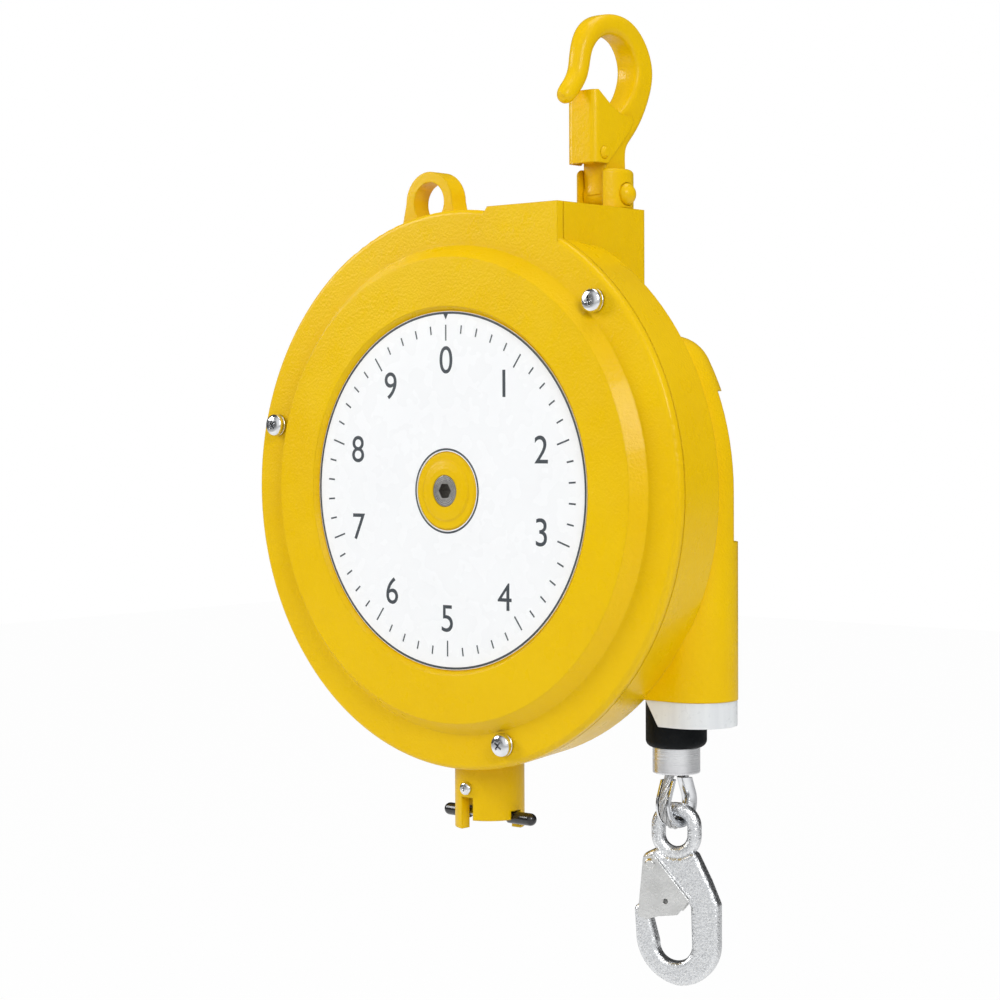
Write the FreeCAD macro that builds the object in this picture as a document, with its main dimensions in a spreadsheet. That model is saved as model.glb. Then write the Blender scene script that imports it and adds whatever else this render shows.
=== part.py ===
import FreeCAD, Part
import math
import os
import Sketcher
from FreeCAD import Placement, Rotation, Vector

# Tool balancer: a spring-loaded cable drum in a two-piece cast case, hung from a swivel hook.
# Everything is modelled about the drum: X to the right, Y from the front face to the back, Z up,
# zero on the drum axis at the face plate.  Every sub-part's Placement then moves it so that the
# part's origin is the seat of the top hook.

doc = FreeCAD.newDocument("ToolBalancer")
sheet = doc.addObject("Spreadsheet::Sheet", "Sizes")


# ---------------------------------------------------------------- sizes

class Size:
    """A number that remembers the expression it comes from."""

    def __init__(self, value, text):
        self.value = float(value)
        self.text = text

    def joined(self, other, sign, value):
        return Size(value, "(" + self.text + sign + text_of(other) + ")")

    def __add__(self, other):
        return self.joined(other, " + ", self.value + float(other))

    def __sub__(self, other):
        return self.joined(other, " - ", self.value - float(other))

    def __mul__(self, other):
        return self.joined(other, " * ", self.value * float(other))

    def __truediv__(self, other):
        return self.joined(other, " / ", self.value / float(other))

    def __radd__(self, other):
        return Size(other, text_of(other)) + self

    def __rsub__(self, other):
        return Size(other, text_of(other)) - self

    def __rmul__(self, other):
        return Size(other, text_of(other)) * self

    def __neg__(self):
        return 0 - self

    def __float__(self):
        return self.value


def text_of(number):
    return number.text if isinstance(number, Size) else repr(float(number))


def size(name, value):
    """Write one driving size into the sheet and hand it back as a Size."""
    size.row += 1
    sheet.set("A%d" % size.row, name)
    sheet.set("B%d" % size.row, repr(float(value)))
    sheet.setAlias("B%d" % size.row, name)
    return Size(value, "Sizes." + name)


size.row = 0

# case and cover
case_rad = size("case_rad", 115.0)
case_mid_rad = size("case_mid_rad", 113.0)
cover_face = size("cover_face", 3.8)
split_at = size("split_at", 8.0)
shoulder_at = size("shoulder_at", 35.0)
back_at = size("back_at", 63.0)
rear_rad = size("rear_rad", 94.0)
case_draft = size("case_draft", 1.0)
wall = size("wall", 3.0)
thin_wall = size("thin_wall", 2.5)
rim_wall = size("rim_wall", 4.5)
ring_foot_rad = size("ring_foot_rad", 100.5)
ring_top_rad = size("ring_top_rad", 95.4)
ring_rise = size("ring_rise", 2.0)
plate_rad = size("plate_rad", 73.5)
plate_thick = size("plate_thick", 0.6)
hub_rad = size("hub_rad", 16.1)
hub_rise = size("hub_rise", 1.4)
dome_rad = size("dome_rad", 12.0)
dome_at = size("dome_at", 0.5)
edge_round = size("edge_round", 2.0)
groove_wide = size("groove_wide", 0.5)
groove_deep = size("groove_deep", 1.2)
shoulder_round = size("shoulder_round", 5.0)

# top block, with the bearing of the yoke in it
block_left = size("block_left", 19.3)
block_right = size("block_right", 56.0)
notch_in = size("notch_in", 2.1)
notch_down = size("notch_down", 2.8)
block_top = size("block_top", 115.2)
block_back = size("block_back", 62.5)
block_round = size("block_round", 3.0)

# cable outlet: a half-round bulge that follows the drum and drops to the guide
outlet_x = size("outlet_x", 92.6)
outlet_y = size("outlet_y", 46.6)
outlet_rad = size("outlet_rad", 16.1)
outlet_drop = size("outlet_drop", 83.0)
outlet_left = size("outlet_left", 62.0)
bulge_angle = size("bulge_angle", 30.0)
window_low = size("window_low", -20.0)
window_high = size("window_high", 40.0)
window_near = size("window_near", 2.5)
window_far = size("window_far", 14.3)

# safety lug
lug_x = size("lug_x", -24.5)
lug_z = size("lug_z", 120.6)
lug_front = size("lug_front", 17.0)
lug_thick = size("lug_thick", 9.0)
lug_rad = size("lug_rad", 12.9)
lug_hole_rad = size("lug_hole_rad", 8.5)
lug_foot = size("lug_foot", 17.5)

# lock boss and what is in it
lock_y = size("lock_y", 26.0)
lock_rad = size("lock_rad", 14.6)
lock_bottom = size("lock_bottom", 141.0)
lock_short = size("lock_short", 4.0)
lock_bore_rad = size("lock_bore_rad", 10.0)
slot_width = size("slot_width", 6.0)
slot_top = size("slot_top", 127.6)
bar_at = size("bar_at", 136.4)
bar_rad = size("bar_rad", 1.5)
bar_half = size("bar_half", 22.8)
cap_rad = size("cap_rad", 2.6)
cap_inner = size("cap_inner", 11.0)
cap_end = size("cap_end", -0.6)
plug_top = size("plug_top", 121.6)
plug_thick = size("plug_thick", 4.4)
plunger_rad = size("plunger_rad", 6.5)
plunger_top = size("plunger_top", 106.8)
plunger_skirt = size("plunger_skirt", 10.0)
stem_rad = size("stem_rad", 2.4)
lock_wire = size("lock_wire", 0.5)
lock_turns = size("lock_turns", 5.0)

# shaft line
shaft_rad = size("shaft_rad", 6.25)
shaft_out = size("shaft_out", 1.2)
shaft_back = size("shaft_back", 11.0)
socket_rad = size("socket_rad", 3.46)
socket_deep = size("socket_deep", 9.0)
bush_rad = size("bush_rad", 9.0)
bush_long = size("bush_long", 13.0)
front_bush_long = size("front_bush_long", 7.0)
run_gap = size("run_gap", 0.05)
arbor_rad = size("arbor_rad", 18.0)
nut_flats = size("nut_flats", 19.0)
nut_thick = size("nut_thick", 7.0)
washer_thick = size("washer_thick", 1.5)

# drum
barrel_rad = size("barrel_rad", 98.0)
barrel_wall = size("barrel_wall", 2.5)
barrel_front = size("barrel_front", 11.5)
lid_thick = size("lid_thick", 1.5)
web_front = size("web_front", 28.0)
web_thick = size("web_thick", 3.0)
lock_flange_rad = size("lock_flange_rad", 105.5)
lock_flange_thick = size("lock_flange_thick", 5.0)
notch_width = size("notch_width", 15.0)
notch_deep = size("notch_deep", 6.0)
notch_count = size("notch_count", 8)
drum_hub_rad = size("drum_hub_rad", 16.0)
drum_end = size("drum_end", 59.0)
drum_rim = size("drum_rim", 5.0)
groove_first = size("groove_first", 39.5)
groove_pitch = size("groove_pitch", 4.2)
groove_count = 5
cable_line = size("cable_line", 81.9)
groove_crest = size("groove_crest", 1.0)
groove_grow = size("groove_grow", 1.1)
cable_rad = size("cable_rad", 2.0)
cable_seat = size("cable_seat", 0.15)

# power spring
strip_thick = size("strip_thick", 1.0)
strip_turns = 8
strip_gap = size("strip_gap", 0.4)

# cable end
guide_drop = size("guide_drop", 10.3)
guide_wall = size("guide_wall", 2.5)
guide_plug = size("guide_plug", 6.0)
guide_open = size("guide_open", 78.3)
guide_slant = size("guide_slant", 6.2)
guide_hole = size("guide_hole", 5.5)
bumper_rad = size("bumper_rad", 12.35)
bumper_bottom = size("bumper_bottom", 103.0)
bumper_round = size("bumper_round", 3.0)
ferrule_rad = size("ferrule_rad", 9.6)
ferrule_long = size("ferrule_long", 10.5)
loop_rad = size("loop_rad", 8.8)
loop_drop = size("loop_drop", 12.3)
thimble_wall = size("thimble_wall", 0.9)
loop_top_half = size("loop_top_half", 4.4)
thimble_rise = size("thimble_rise", 0.9)
thimble_width = size("thimble_width", 6.4)

# snap hook, in its own upright plane
snap_turn = size("snap_turn", 20.0)
snap_thick = size("snap_thick", 7.0)
eye_rad = size("eye_rad", 7.5)
eye_bar = size("eye_bar", 2.9)
eye_gap = size("eye_gap", 0.3)
eye_long = size("eye_long", 2.8)
eye_flat = size("eye_flat", 0.75)
snap_round = size("snap_round", 2.2)
snap_corner = size("snap_corner", 2.4)
gate_sheet = size("gate_sheet", 1.2)
gate_gap = size("gate_gap", 0.3)
gate_rivet_rad = size("gate_rivet_rad", 1.5)
gate_spring_room = size("gate_spring_room", 2.6)
gate_spring_deep = size("gate_spring_deep", 2.4)
gate_spring_wire = size("gate_spring_wire", 0.4)

# yoke and top hook
hook_x = size("hook_x", 43.0)
hook_y = size("hook_y", 51.0)
yoke_rad = size("yoke_rad", 11.7)
yoke_top = size("yoke_top", 131.6)
yoke_gap = size("yoke_gap", 0.3)
yoke_slot = size("yoke_slot", 12.6)
yoke_floor = size("yoke_floor", 1.9)
spigot_rad = size("spigot_rad", 10.0)
spigot_deep = size("spigot_deep", 5.0)
spindle_rad = size("spindle_rad", 6.0)
spindle_end = size("spindle_end", 87.0)
bearing_end = size("bearing_end", 97.0)
pocket_rad = size("pocket_rad", 11.0)
swivel_nut_thick = size("swivel_nut_thick", 8.0)
pin_at = size("pin_at", 5.6)
pin_rad = size("pin_rad", 3.0)
pin_head_rad = size("pin_head_rad", 4.5)
pin_head_rise = size("pin_head_rise", 3.0)
tang_half = size("tang_half", 6.0)
shank_half = size("shank_half", 7.1)
tang_foot = size("tang_foot", 7.1)
bowl_z = size("bowl_z", 174.0)
bowl_rad = size("bowl_rad", 12.8)
bowl_open = size("bowl_open", 1.4)
forge_corner = size("forge_corner", 2.5)
bowl_y = size("bowl_y", 51.6)
nose_half = size("nose_half", 4.2)
crown_half = size("crown_half", 4.3)
back_half = size("back_half", 5.7)
latch_y = size("latch_y", 41.0)
latch_z = size("latch_z", 137.6)
latch_sheet = size("latch_sheet", 1.2)
latch_gap = size("latch_gap", 0.35)
latch_web = size("latch_web", 34.9)
latch_bend = size("latch_bend", 3.0)
latch_rivet_rad = size("latch_rivet_rad", 1.8)
latch_boss = size("latch_boss", 4.0)

# small fasteners
cover_screw_ring = size("cover_screw_ring", 106.0)
cover_screw_start = size("cover_screw_start", 45.0)
cover_screw_count = 3
screw_rad = size("screw_rad", 2.5)
screw_long = size("screw_long", 14.0)
screw_head_rad = size("screw_head_rad", 4.75)
screw_head_rise = size("screw_head_rise", 3.4)
spring_washer = size("spring_washer", 1.2)
screw_boss_rad = size("screw_boss_rad", 6.0)
screw_boss_end = size("screw_boss_end", 21.0)
small_screw_rad = size("small_screw_rad", 1.5)
small_head_rad = size("small_head_rad", 2.75)
small_head_rise = size("small_head_rise", 2.0)
fit_gap = size("fit_gap", 0.3)

doc.recompute()

seat_z = bowl_z + bowl_rad
outlet_inner = outlet_rad - thin_wall
plane_of = {"plan": "XY_Plane", "front": "XZ_Plane", "side": "YZ_Plane"}
turned_to = {
    "x": Rotation(Vector(0, 1, 0), 90),
    "y": Rotation(Vector(1, 0, 0), -90),
    "z": Rotation(),
    "ring": Rotation(Vector(1, 0, 0), 90),
}


# ---------------------------------------------------------------- helpers

def bind(thing, prop, number):
    """Give a property its value, tied to the sheet when it comes from there."""
    if isinstance(number, Size):
        thing.setExpression(prop, number.text)
    elif "." not in prop:
        setattr(thing, prop, number)


def locate(thing, place, axis="z"):
    """Put a primitive's own origin at place with its axis along x, y or z."""
    thing.Placement = Placement(Vector(*[float(p) for p in place]), turned_to[axis])
    for letter, number in zip("xyz", place):
        bind(thing, "Placement.Base." + letter, number)


def body(label):
    made = doc.addObject("PartDesign::Body", label)
    made.Label = label
    return made


def lump(host, kind, name, place, axis="z", **sizes):
    """Add or take away a primitive inside a body."""
    made = host.newObject("PartDesign::" + kind, name)
    for prop, number in sizes.items():
        setattr(made, prop, float(number))
        bind(made, prop, number)
    locate(made, place, axis)
    return made


def solid(kind, name, place=(0, 0, 0), axis="z", **sizes):
    """A plain primitive in the document."""
    made = doc.addObject("Part::" + kind, name)
    for prop, number in sizes.items():
        setattr(made, prop, float(number))
        bind(made, prop, number)
    locate(made, place, axis)
    return made


def fused(label, *pieces):
    made = doc.addObject("Part::MultiFuse", label)
    made.Shapes = list(pieces)
    made.Label = label
    return made


def cut(label, base, tool):
    made = doc.addObject("Part::Cut", label)
    made.Base = base
    made.Tool = tool
    made.Label = label
    return made


def group(label, pieces):
    made = doc.addObject("Part::Compound", label)
    made.Links = list(pieces)
    made.Label = label
    return made


def feature(label, shape, place=None):
    """A shape made with Part's own functions, moved to its place."""
    if place is not None:
        shape = shape.copy()
        shape.transformShape(place.toMatrix(), True)
    made = doc.addObject("Part::Feature", label)
    made.Shape = shape
    made.Label = label
    return made


def outline(host, name, plane, points, offset=0):
    """A closed sketch of straight lines whose corners are tied to the sheet."""
    drawn = host.newObject("Sketcher::SketchObject", name)
    flat = [part for part in host.Origin.OriginFeatures if part.Role == plane_of[plane]][0]
    drawn.AttachmentSupport = [(flat, "")]
    drawn.MapMode = "FlatFace"
    drawn.AttachmentOffset = Placement(Vector(0, 0, float(offset)), Rotation())
    bind(drawn, "AttachmentOffset.Base.z", offset)
    corners = [Vector(float(across), float(up), 0) for across, up in points]
    count = len(corners)
    for index, corner in enumerate(corners):
        drawn.addGeometry(Part.LineSegment(corner, corners[(index + 1) % count]), False)
    for index in range(count):
        drawn.addConstraint(Sketcher.Constraint("Coincident", index, 2, (index + 1) % count, 1))
    for index, (across, up) in enumerate(points):
        for kind, number in (("DistanceX", across), ("DistanceY", up)):
            if abs(float(number)) < 1e-9:
                on = -2 if kind == "DistanceX" else -1
                drawn.addConstraint(Sketcher.Constraint("PointOnObject", index, 1, on))
                continue
            place = drawn.addConstraint(Sketcher.Constraint(kind, -1, 1, index, 1, float(number)))
            bind(drawn, "Constraints[%d]" % place, number)
    return drawn


def turned(host, name, points, cut_away=False):
    """Revolve an outline of (radius, y) points about the drum's axis."""
    drawn = outline(host, name + "_profile", "plan", points)
    made = host.newObject("PartDesign::Groove" if cut_away else "PartDesign::Revolution", name)
    made.Profile = drawn
    made.ReferenceAxis = (drawn, ["V_Axis"])
    made.Angle = 360.0
    return made


def padded(host, name, plane, points, start, length, cut_away=False):
    """Extrude an outline from start towards the positive side of its plane."""
    towards = -1 if plane == "front" else 1
    drawn = outline(host, name + "_profile", plane, points, start * towards)
    made = host.newObject("PartDesign::Pocket" if cut_away else "PartDesign::Pad", name)
    made.Profile = drawn
    made.Length = float(length)
    bind(made, "Length", length)
    made.Reversed = (towards < 0) != cut_away
    return made


def rounded(host, name, radius, choose):
    """Fillet the edges of the body's tip that choose accepts."""
    doc.recompute()
    tip = host.Tip
    edges = [
        "Edge%d" % (index + 1)
        for index, edge in enumerate(tip.Shape.Edges)
        if choose(edge)
    ]
    if not edges:
        raise ValueError(name + " found no edge")
    made = host.newObject("PartDesign::Fillet", name)
    made.Base = (tip, edges)
    made.Radius = float(radius)
    bind(made, "Radius", radius)
    return made


def circle_edge(edge, radius, y):
    """True for a round edge about the drum's axis with this radius and place."""
    if not isinstance(edge.Curve, Part.Circle):
        return False
    near = abs(edge.Curve.Radius - float(radius)) < 0.02
    return near and abs(edge.Curve.Center.y - float(y)) < 0.02


def polar(radius, angle):
    """The x and z of a point at this radius and angle about the drum's axis."""
    degrees = text_of(angle)
    across = Size(float(radius) * math.cos(math.radians(float(angle))),
                  "(%s * cos(%s * 1deg))" % (text_of(radius), degrees))
    up = Size(float(radius) * math.sin(math.radians(float(angle))),
              "(%s * sin(%s * 1deg))" % (text_of(radius), degrees))
    return across, up


# ---------------------------------------------------------------- cast case

def outlet(name, radius, left):
    """The cable outlet's form: a bulge round the drum that drops to a half-round box."""
    bulge_x, bulge_z = polar(outlet_x, bulge_angle)
    side = solid("Box", name + "_side", (left, outlet_y - radius, -outlet_drop),
                 Length=outlet_x - left, Width=radius * 2, Height=outlet_drop)
    drop = solid("Cylinder", name + "_round", (outlet_x, outlet_y, -outlet_drop),
                 Radius=radius, Height=outlet_drop)
    bulge = solid("Torus", name + "_bulge", (0, outlet_y, 0), "ring",
                  Radius1=outlet_x, Radius2=radius, Angle3=bulge_angle)
    end = solid("Sphere", name + "_end", (bulge_x, outlet_y, bulge_z), Radius=radius)
    return fused(name, side, drop, bulge, end)


def case_blank():
    """The casting's outside, still solid."""
    host = body("case_blank")
    turned(host, "case_form", [
        (0, split_at),
        (case_rad, split_at),
        (case_mid_rad, shoulder_at - shoulder_round / 2),
        (case_mid_rad - shoulder_round, shoulder_at + wall / 4),
        (rear_rad, shoulder_at + wall),
        (rear_rad - case_draft, back_at),
        (0, back_at),
    ])
    rounded(host, "back_edge", edge_round,
            lambda edge: circle_edge(edge, rear_rad - case_draft, back_at))
    block_foot = case_rad * 0.5
    padded(host, "top_block", "front", [
        (block_left - notch_in, block_foot), (block_right, block_foot),
        (block_right, block_top), (block_left, block_top), (block_left - notch_in, block_top - notch_down),
    ], split_at, block_back - split_at)
    upright = lambda edge: (
        abs(edge.BoundBox.XMin - float(block_right)) < 0.01
        and abs(edge.BoundBox.XMax - float(block_right)) < 0.01
        and abs(edge.BoundBox.YMin - float(block_back)) < 0.01
        and edge.BoundBox.ZMax > float(block_top) - 1
    )
    rounded(host, "block_corner", block_round, upright)
    padded(host, "lug_flank", "front", [
        (lug_x - lug_foot, case_mid_rad * 0.9), (lug_x + lug_foot, case_mid_rad * 0.9),
        (lug_x + lug_rad, lug_z), (lug_x - lug_rad, lug_z),
    ], lug_front, lug_thick)
    lump(host, "AdditiveCylinder", "lug_eye", (lug_x, lug_front, lug_z), "y",
         Radius=lug_rad, Height=lug_thick)
    lump(host, "AdditiveCylinder", "lock_boss", (0, lock_y, -lock_bottom),
         Radius=lock_rad, Height=lock_bottom - case_mid_rad * 0.9)
    return host


def case_cavity():
    """The room for the drum, with the hub that holds the rear bush left standing."""
    host = body("case_cavity")
    cavity_rad = case_rad - rim_wall
    inner_rear = rear_rad - thin_wall
    turned(host, "cavity_form", [
        (0, 0),
        (cavity_rad, 0),
        (cavity_rad - case_draft, shoulder_at - wall),
        (inner_rear, shoulder_at),
        (inner_rear - case_draft, back_at - wall),
        (drum_hub_rad, back_at - wall),
        (drum_hub_rad - case_draft, back_at - bush_long),
        (0, back_at - bush_long),
    ])
    return host


def case_holes():
    """Everything that is drilled or cast into the case after its form."""
    tools = []
    for index in range(cover_screw_count):
        across, up = polar(cover_screw_ring, cover_screw_start + index * (360.0 / cover_screw_count))
        tools.append(solid("Cylinder", "screw_hole%d" % index, (across, split_at, up), "y",
                           Radius=screw_rad, Height=screw_long))
    tools.append(solid("Box", "window", (outlet_x - thin_wall, outlet_y + window_near, window_low),
                       Length=outlet_rad * 2, Width=window_far - window_near,
                       Height=window_high - window_low))
    tools.append(solid("Cylinder", "lug_hole", (lug_x, lug_front, lug_z), "y",
                       Radius=lug_hole_rad, Height=lug_thick))
    tools.append(solid("Cylinder", "shaft_hole", (0, back_at - bush_long, 0), "y",
                       Radius=bush_rad, Height=bush_long))
    tools.append(solid("Cylinder", "plunger_bore", (0, lock_y, -lock_bottom),
                       Radius=plunger_rad + run_gap, Height=lock_bottom - case_mid_rad * 0.9))
    tools.append(solid("Cylinder", "plug_bore", (0, lock_y, -lock_bottom),
                       Radius=lock_bore_rad, Height=lock_bottom - plug_top))
    tools.append(solid("Box", "deep_slot", (slot_width / -2, lock_y - lock_rad, -lock_bottom),
                       Length=slot_width, Width=lock_rad * 2, Height=lock_bottom - slot_top))
    tools.append(solid("Box", "shallow_slot", (-lock_rad, lock_y - slot_width / 2, -lock_bottom),
                       Length=lock_rad * 2, Width=slot_width,
                       Height=lock_bottom - bar_at + cap_rad + fit_gap))
    tools.append(solid("Box", "short_front", (0, lock_y - lock_rad, -lock_bottom),
                       Length=lock_rad, Width=lock_rad, Height=lock_short))
    tools.append(solid("Box", "short_back", (-lock_rad, lock_y, -lock_bottom),
                       Length=lock_rad, Width=lock_rad, Height=lock_short))
    tools.append(solid("Cylinder", "lock_screw_hole",
                       (0, lock_y - lock_rad, -(plug_top + plug_thick / 2)), "y",
                       Radius=small_screw_rad, Height=lock_rad - stem_rad - run_gap * 4))
    tools.append(solid("Cylinder", "swivel_bore", (hook_x, hook_y, case_rad * 0.5),
                       Radius=spindle_rad + run_gap, Height=block_top - case_rad * 0.5))
    tools.append(solid("Cylinder", "spigot_bore", (hook_x, hook_y, block_top - spigot_deep - fit_gap),
                       Radius=spigot_rad + fit_gap, Height=spigot_deep + fit_gap))
    tools.append(solid("Cylinder", "swivel_pocket", (hook_x, hook_y, case_rad * 0.5),
                       Radius=pocket_rad, Height=bearing_end - case_rad * 0.5))
    return fused("case_holes", *tools)


def rear_case():
    outside = fused("case_outside", case_blank(), outlet("outlet", outlet_rad, outlet_left))
    inside = fused("case_inside", case_cavity(),
                   outlet("outlet_room", outlet_inner, outlet_left + thin_wall))
    shell = cut("case_shell", outside, inside)
    bosses = []
    for index in range(cover_screw_count):
        across, up = polar(cover_screw_ring, cover_screw_start + index * (360.0 / cover_screw_count))
        bosses.append(solid("Cylinder", "screw_boss%d" % index, (across, split_at, up), "y",
                            Radius=screw_boss_rad, Height=screw_boss_end - split_at))
    return cut("rear_case", fused("case_with_bosses", shell, *bosses), case_holes())


def front_cover():
    host = body("front_cover")
    room_rad = case_rad - rim_wall
    face = Size(0, "0") + plate_thick
    turned(host, "cover_form", [
        (shaft_rad + fit_gap, -hub_rise),
        (bush_rad, -hub_rise),
        (dome_rad, -dome_at * 2),
        (dome_rad + plate_thick, -dome_at),
        (hub_rad - plate_thick, -dome_at),
        (hub_rad, face),
        (plate_rad + plate_thick, face),
        (plate_rad + ring_rise, -ring_rise),
        (ring_top_rad, -ring_rise),
        (ring_foot_rad, cover_face),
        (case_rad, cover_face),
        (case_rad, split_at - groove_wide),
        (case_rad - groove_deep, split_at - groove_wide),
        (case_rad - groove_deep, split_at),
        (room_rad, split_at),
        (room_rad, split_at - plate_thick),
        (ring_foot_rad, split_at - plate_thick),
        (ring_top_rad - wall / 2, wall - ring_rise),
        (plate_rad + wall * 1.5, wall - ring_rise),
        (plate_rad + plate_thick, wall + plate_thick),
        (drum_hub_rad, wall + plate_thick),
        (drum_hub_rad - case_draft, split_at),
        (bush_rad, split_at),
        (bush_rad, split_at - front_bush_long),
        (shaft_rad + fit_gap, split_at - front_bush_long),
    ])
    rounded(host, "flange_edge", edge_round,
            lambda edge: circle_edge(edge, case_rad, cover_face))
    padded(host, "block_front", "front", [
        (block_left - notch_in, case_rad * 0.84), (block_right, case_rad * 0.84),
        (block_right, block_top), (block_left, block_top), (block_left - notch_in, block_top - notch_down),
    ], cover_face, split_at - cover_face)
    lump(host, "SubtractiveBox", "block_groove_top",
         (block_left - notch_in, split_at - groove_wide, block_top - groove_deep),
         Length=block_right - block_left + notch_in, Width=groove_wide, Height=groove_deep)
    lump(host, "SubtractiveBox", "block_groove_side",
         (block_right - groove_deep, split_at - groove_wide, block_top * 0.8),
         Length=groove_deep, Width=groove_wide, Height=block_top * 0.2)
    turned(host, "block_trim", [
        (ring_foot_rad, split_at - plate_thick),
        (room_rad, split_at - plate_thick),
        (room_rad, split_at + plate_thick),
        (ring_foot_rad, split_at + plate_thick),
    ], cut_away=True)
    for index in range(cover_screw_count):
        across, up = polar(cover_screw_ring, cover_screw_start + index * (360.0 / cover_screw_count))
        lump(host, "SubtractiveCylinder", "seat%d" % index, (across, -ring_rise, up), "y",
             Radius=screw_boss_rad, Height=cover_face + ring_rise)
        lump(host, "SubtractiveCylinder", "pass%d" % index, (across, -ring_rise, up), "y",
             Radius=screw_rad + fit_gap, Height=split_at + ring_rise * 2)
    return host


def ring_of(name, inner, outer, start, length, axis="y", place=None):
    """A plain ring about an axis, as bushes and washers are."""
    where = place or (0, start, 0)
    outside = solid("Cylinder", name + "_outside", where, axis, Radius=outer, Height=length)
    inside = solid("Cylinder", name + "_inside", where, axis, Radius=inner, Height=length)
    return cut(name, outside, inside)


def hexagon(name, place, axis, flats, thick, hole):
    """A hexagon nut."""
    prism = solid("Prism", name + "_prism", place, axis, Circumradius=flats / math.sqrt(3), Height=thick)
    bore = solid("Cylinder", name + "_bore", place, axis, Radius=hole, Height=thick)
    return cut(name, prism, bore)


def pan_screw(name, place, axis, shank, length, head, rise):
    """A pan head screw whose seat is at place and whose shank runs along axis."""
    sign = {"x": (1, 0, 0), "y": (0, 1, 0), "z": (0, 0, 1)}[axis]
    low = [at - rise * part if part else at for at, part in zip(place, sign)]
    mid = [at - rise * 0.45 * part if part else at for at, part in zip(place, sign)]
    shaft = solid("Cylinder", name + "_shank", place, axis, Radius=shank, Height=length)
    base = solid("Cylinder", name + "_rim", mid, axis, Radius=head, Height=rise * 0.45)
    dome = solid("Cone", name + "_dome", low, axis,
                 Radius1=head * 0.6, Radius2=head, Height=rise * 0.55)
    return fused(name, shaft, base, dome)


def cover_screws():
    screws = []
    washers = []
    for index in range(cover_screw_count):
        across, up = polar(cover_screw_ring, cover_screw_start + index * (360.0 / cover_screw_count))
        seat = (across, cover_face - spring_washer, up)
        screws.append(pan_screw("cover_screw%d" % index, seat, "y", screw_rad, screw_long,
                                screw_head_rad, screw_head_rise))
        washers.append(ring_of("spring_washer%d" % index, screw_rad, screw_head_rad,
                               None, spring_washer, "y", seat))
    return group("cover_screws", screws), group("cover_screw_washers", washers)


def face_plate():
    return ring_of("face_plate", hub_rad + plate_thick / 4, plate_rad, 0, plate_thick)


# ---------------------------------------------------------------- shaft line

def center_shaft():
    host = body("center_shaft")
    total = shaft_out + back_at + shaft_back
    lump(host, "AdditiveCylinder", "shaft_bar", (0, -shaft_out, 0), "y", Radius=shaft_rad, Height=total)
    lump(host, "SubtractivePrism", "key_socket", (0, -shaft_out, 0), "y",
         Circumradius=socket_rad, Height=socket_deep)
    return host


def power_spring():
    """A flat strip coiled from the arbor out to the wall of the barrel."""
    start = float(arbor_rad + strip_gap)
    finish = float(barrel_rad - barrel_wall - strip_gap - strip_thick)
    steps = strip_turns * 16
    inner = []
    outer = []
    for step in range(steps + 1):
        angle = 2 * math.pi * strip_turns * step / steps
        radius = start + (finish - start) * step / steps
        direction = Vector(math.cos(angle), 0, math.sin(angle))
        inner.append(direction * radius)
        outer.append(direction * (radius + float(strip_thick)))
    inside = Part.BSplineCurve()
    inside.interpolate(inner)
    outside = Part.BSplineCurve()
    outside.interpolate(outer)
    ends = [Part.LineSegment(inner[0], outer[0]), Part.LineSegment(inner[-1], outer[-1])]
    edges = [curve.toShape() for curve in [inside, ends[1], outside, ends[0]]]
    strip = Part.Face(Part.Wire(Part.sortEdges(edges)[0]))
    strip.translate(Vector(0, float(barrel_front + lid_thick + strip_gap), 0))
    wide = float(web_front - barrel_front - lid_thick - strip_gap * 2)
    return feature("power_spring", strip.extrude(Vector(0, wide, 0)))


def groove_rad(row):
    """The radius of the cable's centre line in this groove of the tapered drum."""
    return cable_line + groove_grow * row


def drum():
    host = body("drum")
    web_back = web_front + web_thick
    rim_low = cable_line - groove_crest
    rim_high = groove_rad(groove_count - 1) - groove_crest
    turned(host, "drum_form", [
        (bush_rad, web_front),
        (barrel_rad - barrel_wall, web_front),
        (barrel_rad - barrel_wall, barrel_front),
        (barrel_rad, barrel_front),
        (barrel_rad, lock_y - lock_flange_thick / 2),
        (lock_flange_rad, lock_y - lock_flange_thick / 2),
        (lock_flange_rad, lock_y + lock_flange_thick / 2),
        (barrel_rad, lock_y + lock_flange_thick / 2),
        (barrel_rad, web_back),
        (cable_line + cable_rad, web_back),
        (rim_low, groove_first - groove_pitch / 2),
        (rim_high, drum_end),
        (cable_line - drum_rim, drum_end),
        (cable_line - drum_rim, web_back),
        (drum_hub_rad, web_back),
        (drum_hub_rad, back_at - bush_long - case_draft),
        (bush_rad, back_at - bush_long - case_draft),
    ])
    for row in range(groove_count):
        lump(host, "SubtractiveTorus", "groove%d" % row,
             (0, groove_first + groove_pitch * row, 0), "ring",
             Radius1=groove_rad(row), Radius2=cable_rad + cable_seat)
    notch = lump(host, "SubtractiveBox", "lock_notch",
                 (notch_width / -2, lock_y - lock_flange_thick / 2, lock_flange_rad - notch_deep),
                 Length=notch_width, Width=lock_flange_thick, Height=notch_deep)
    around = host.newObject("PartDesign::PolarPattern", "lock_notches")
    around.Originals = [notch]
    middle = [part for part in host.Origin.OriginFeatures if part.Role == "Y_Axis"][0]
    around.Axis = (middle, [""])
    around.Angle = 360.0
    around.Occurrences = int(float(notch_count))
    bind(around, "Occurrences", notch_count)
    host.Tip = around
    return host


def cable_on_drum():
    rows = []
    for row in range(groove_count):
        place = (0, groove_first + groove_pitch * row, 0)
        turn = solid("Torus", "wrap%d" % row, place, "ring",
                     Radius1=groove_rad(row), Radius2=cable_rad)
        if row == 0:
            turn.Angle3 = 325.0
        rows.append(turn)
    return group("cable_on_drum", rows)


# ---------------------------------------------------------------- cable end

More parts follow.
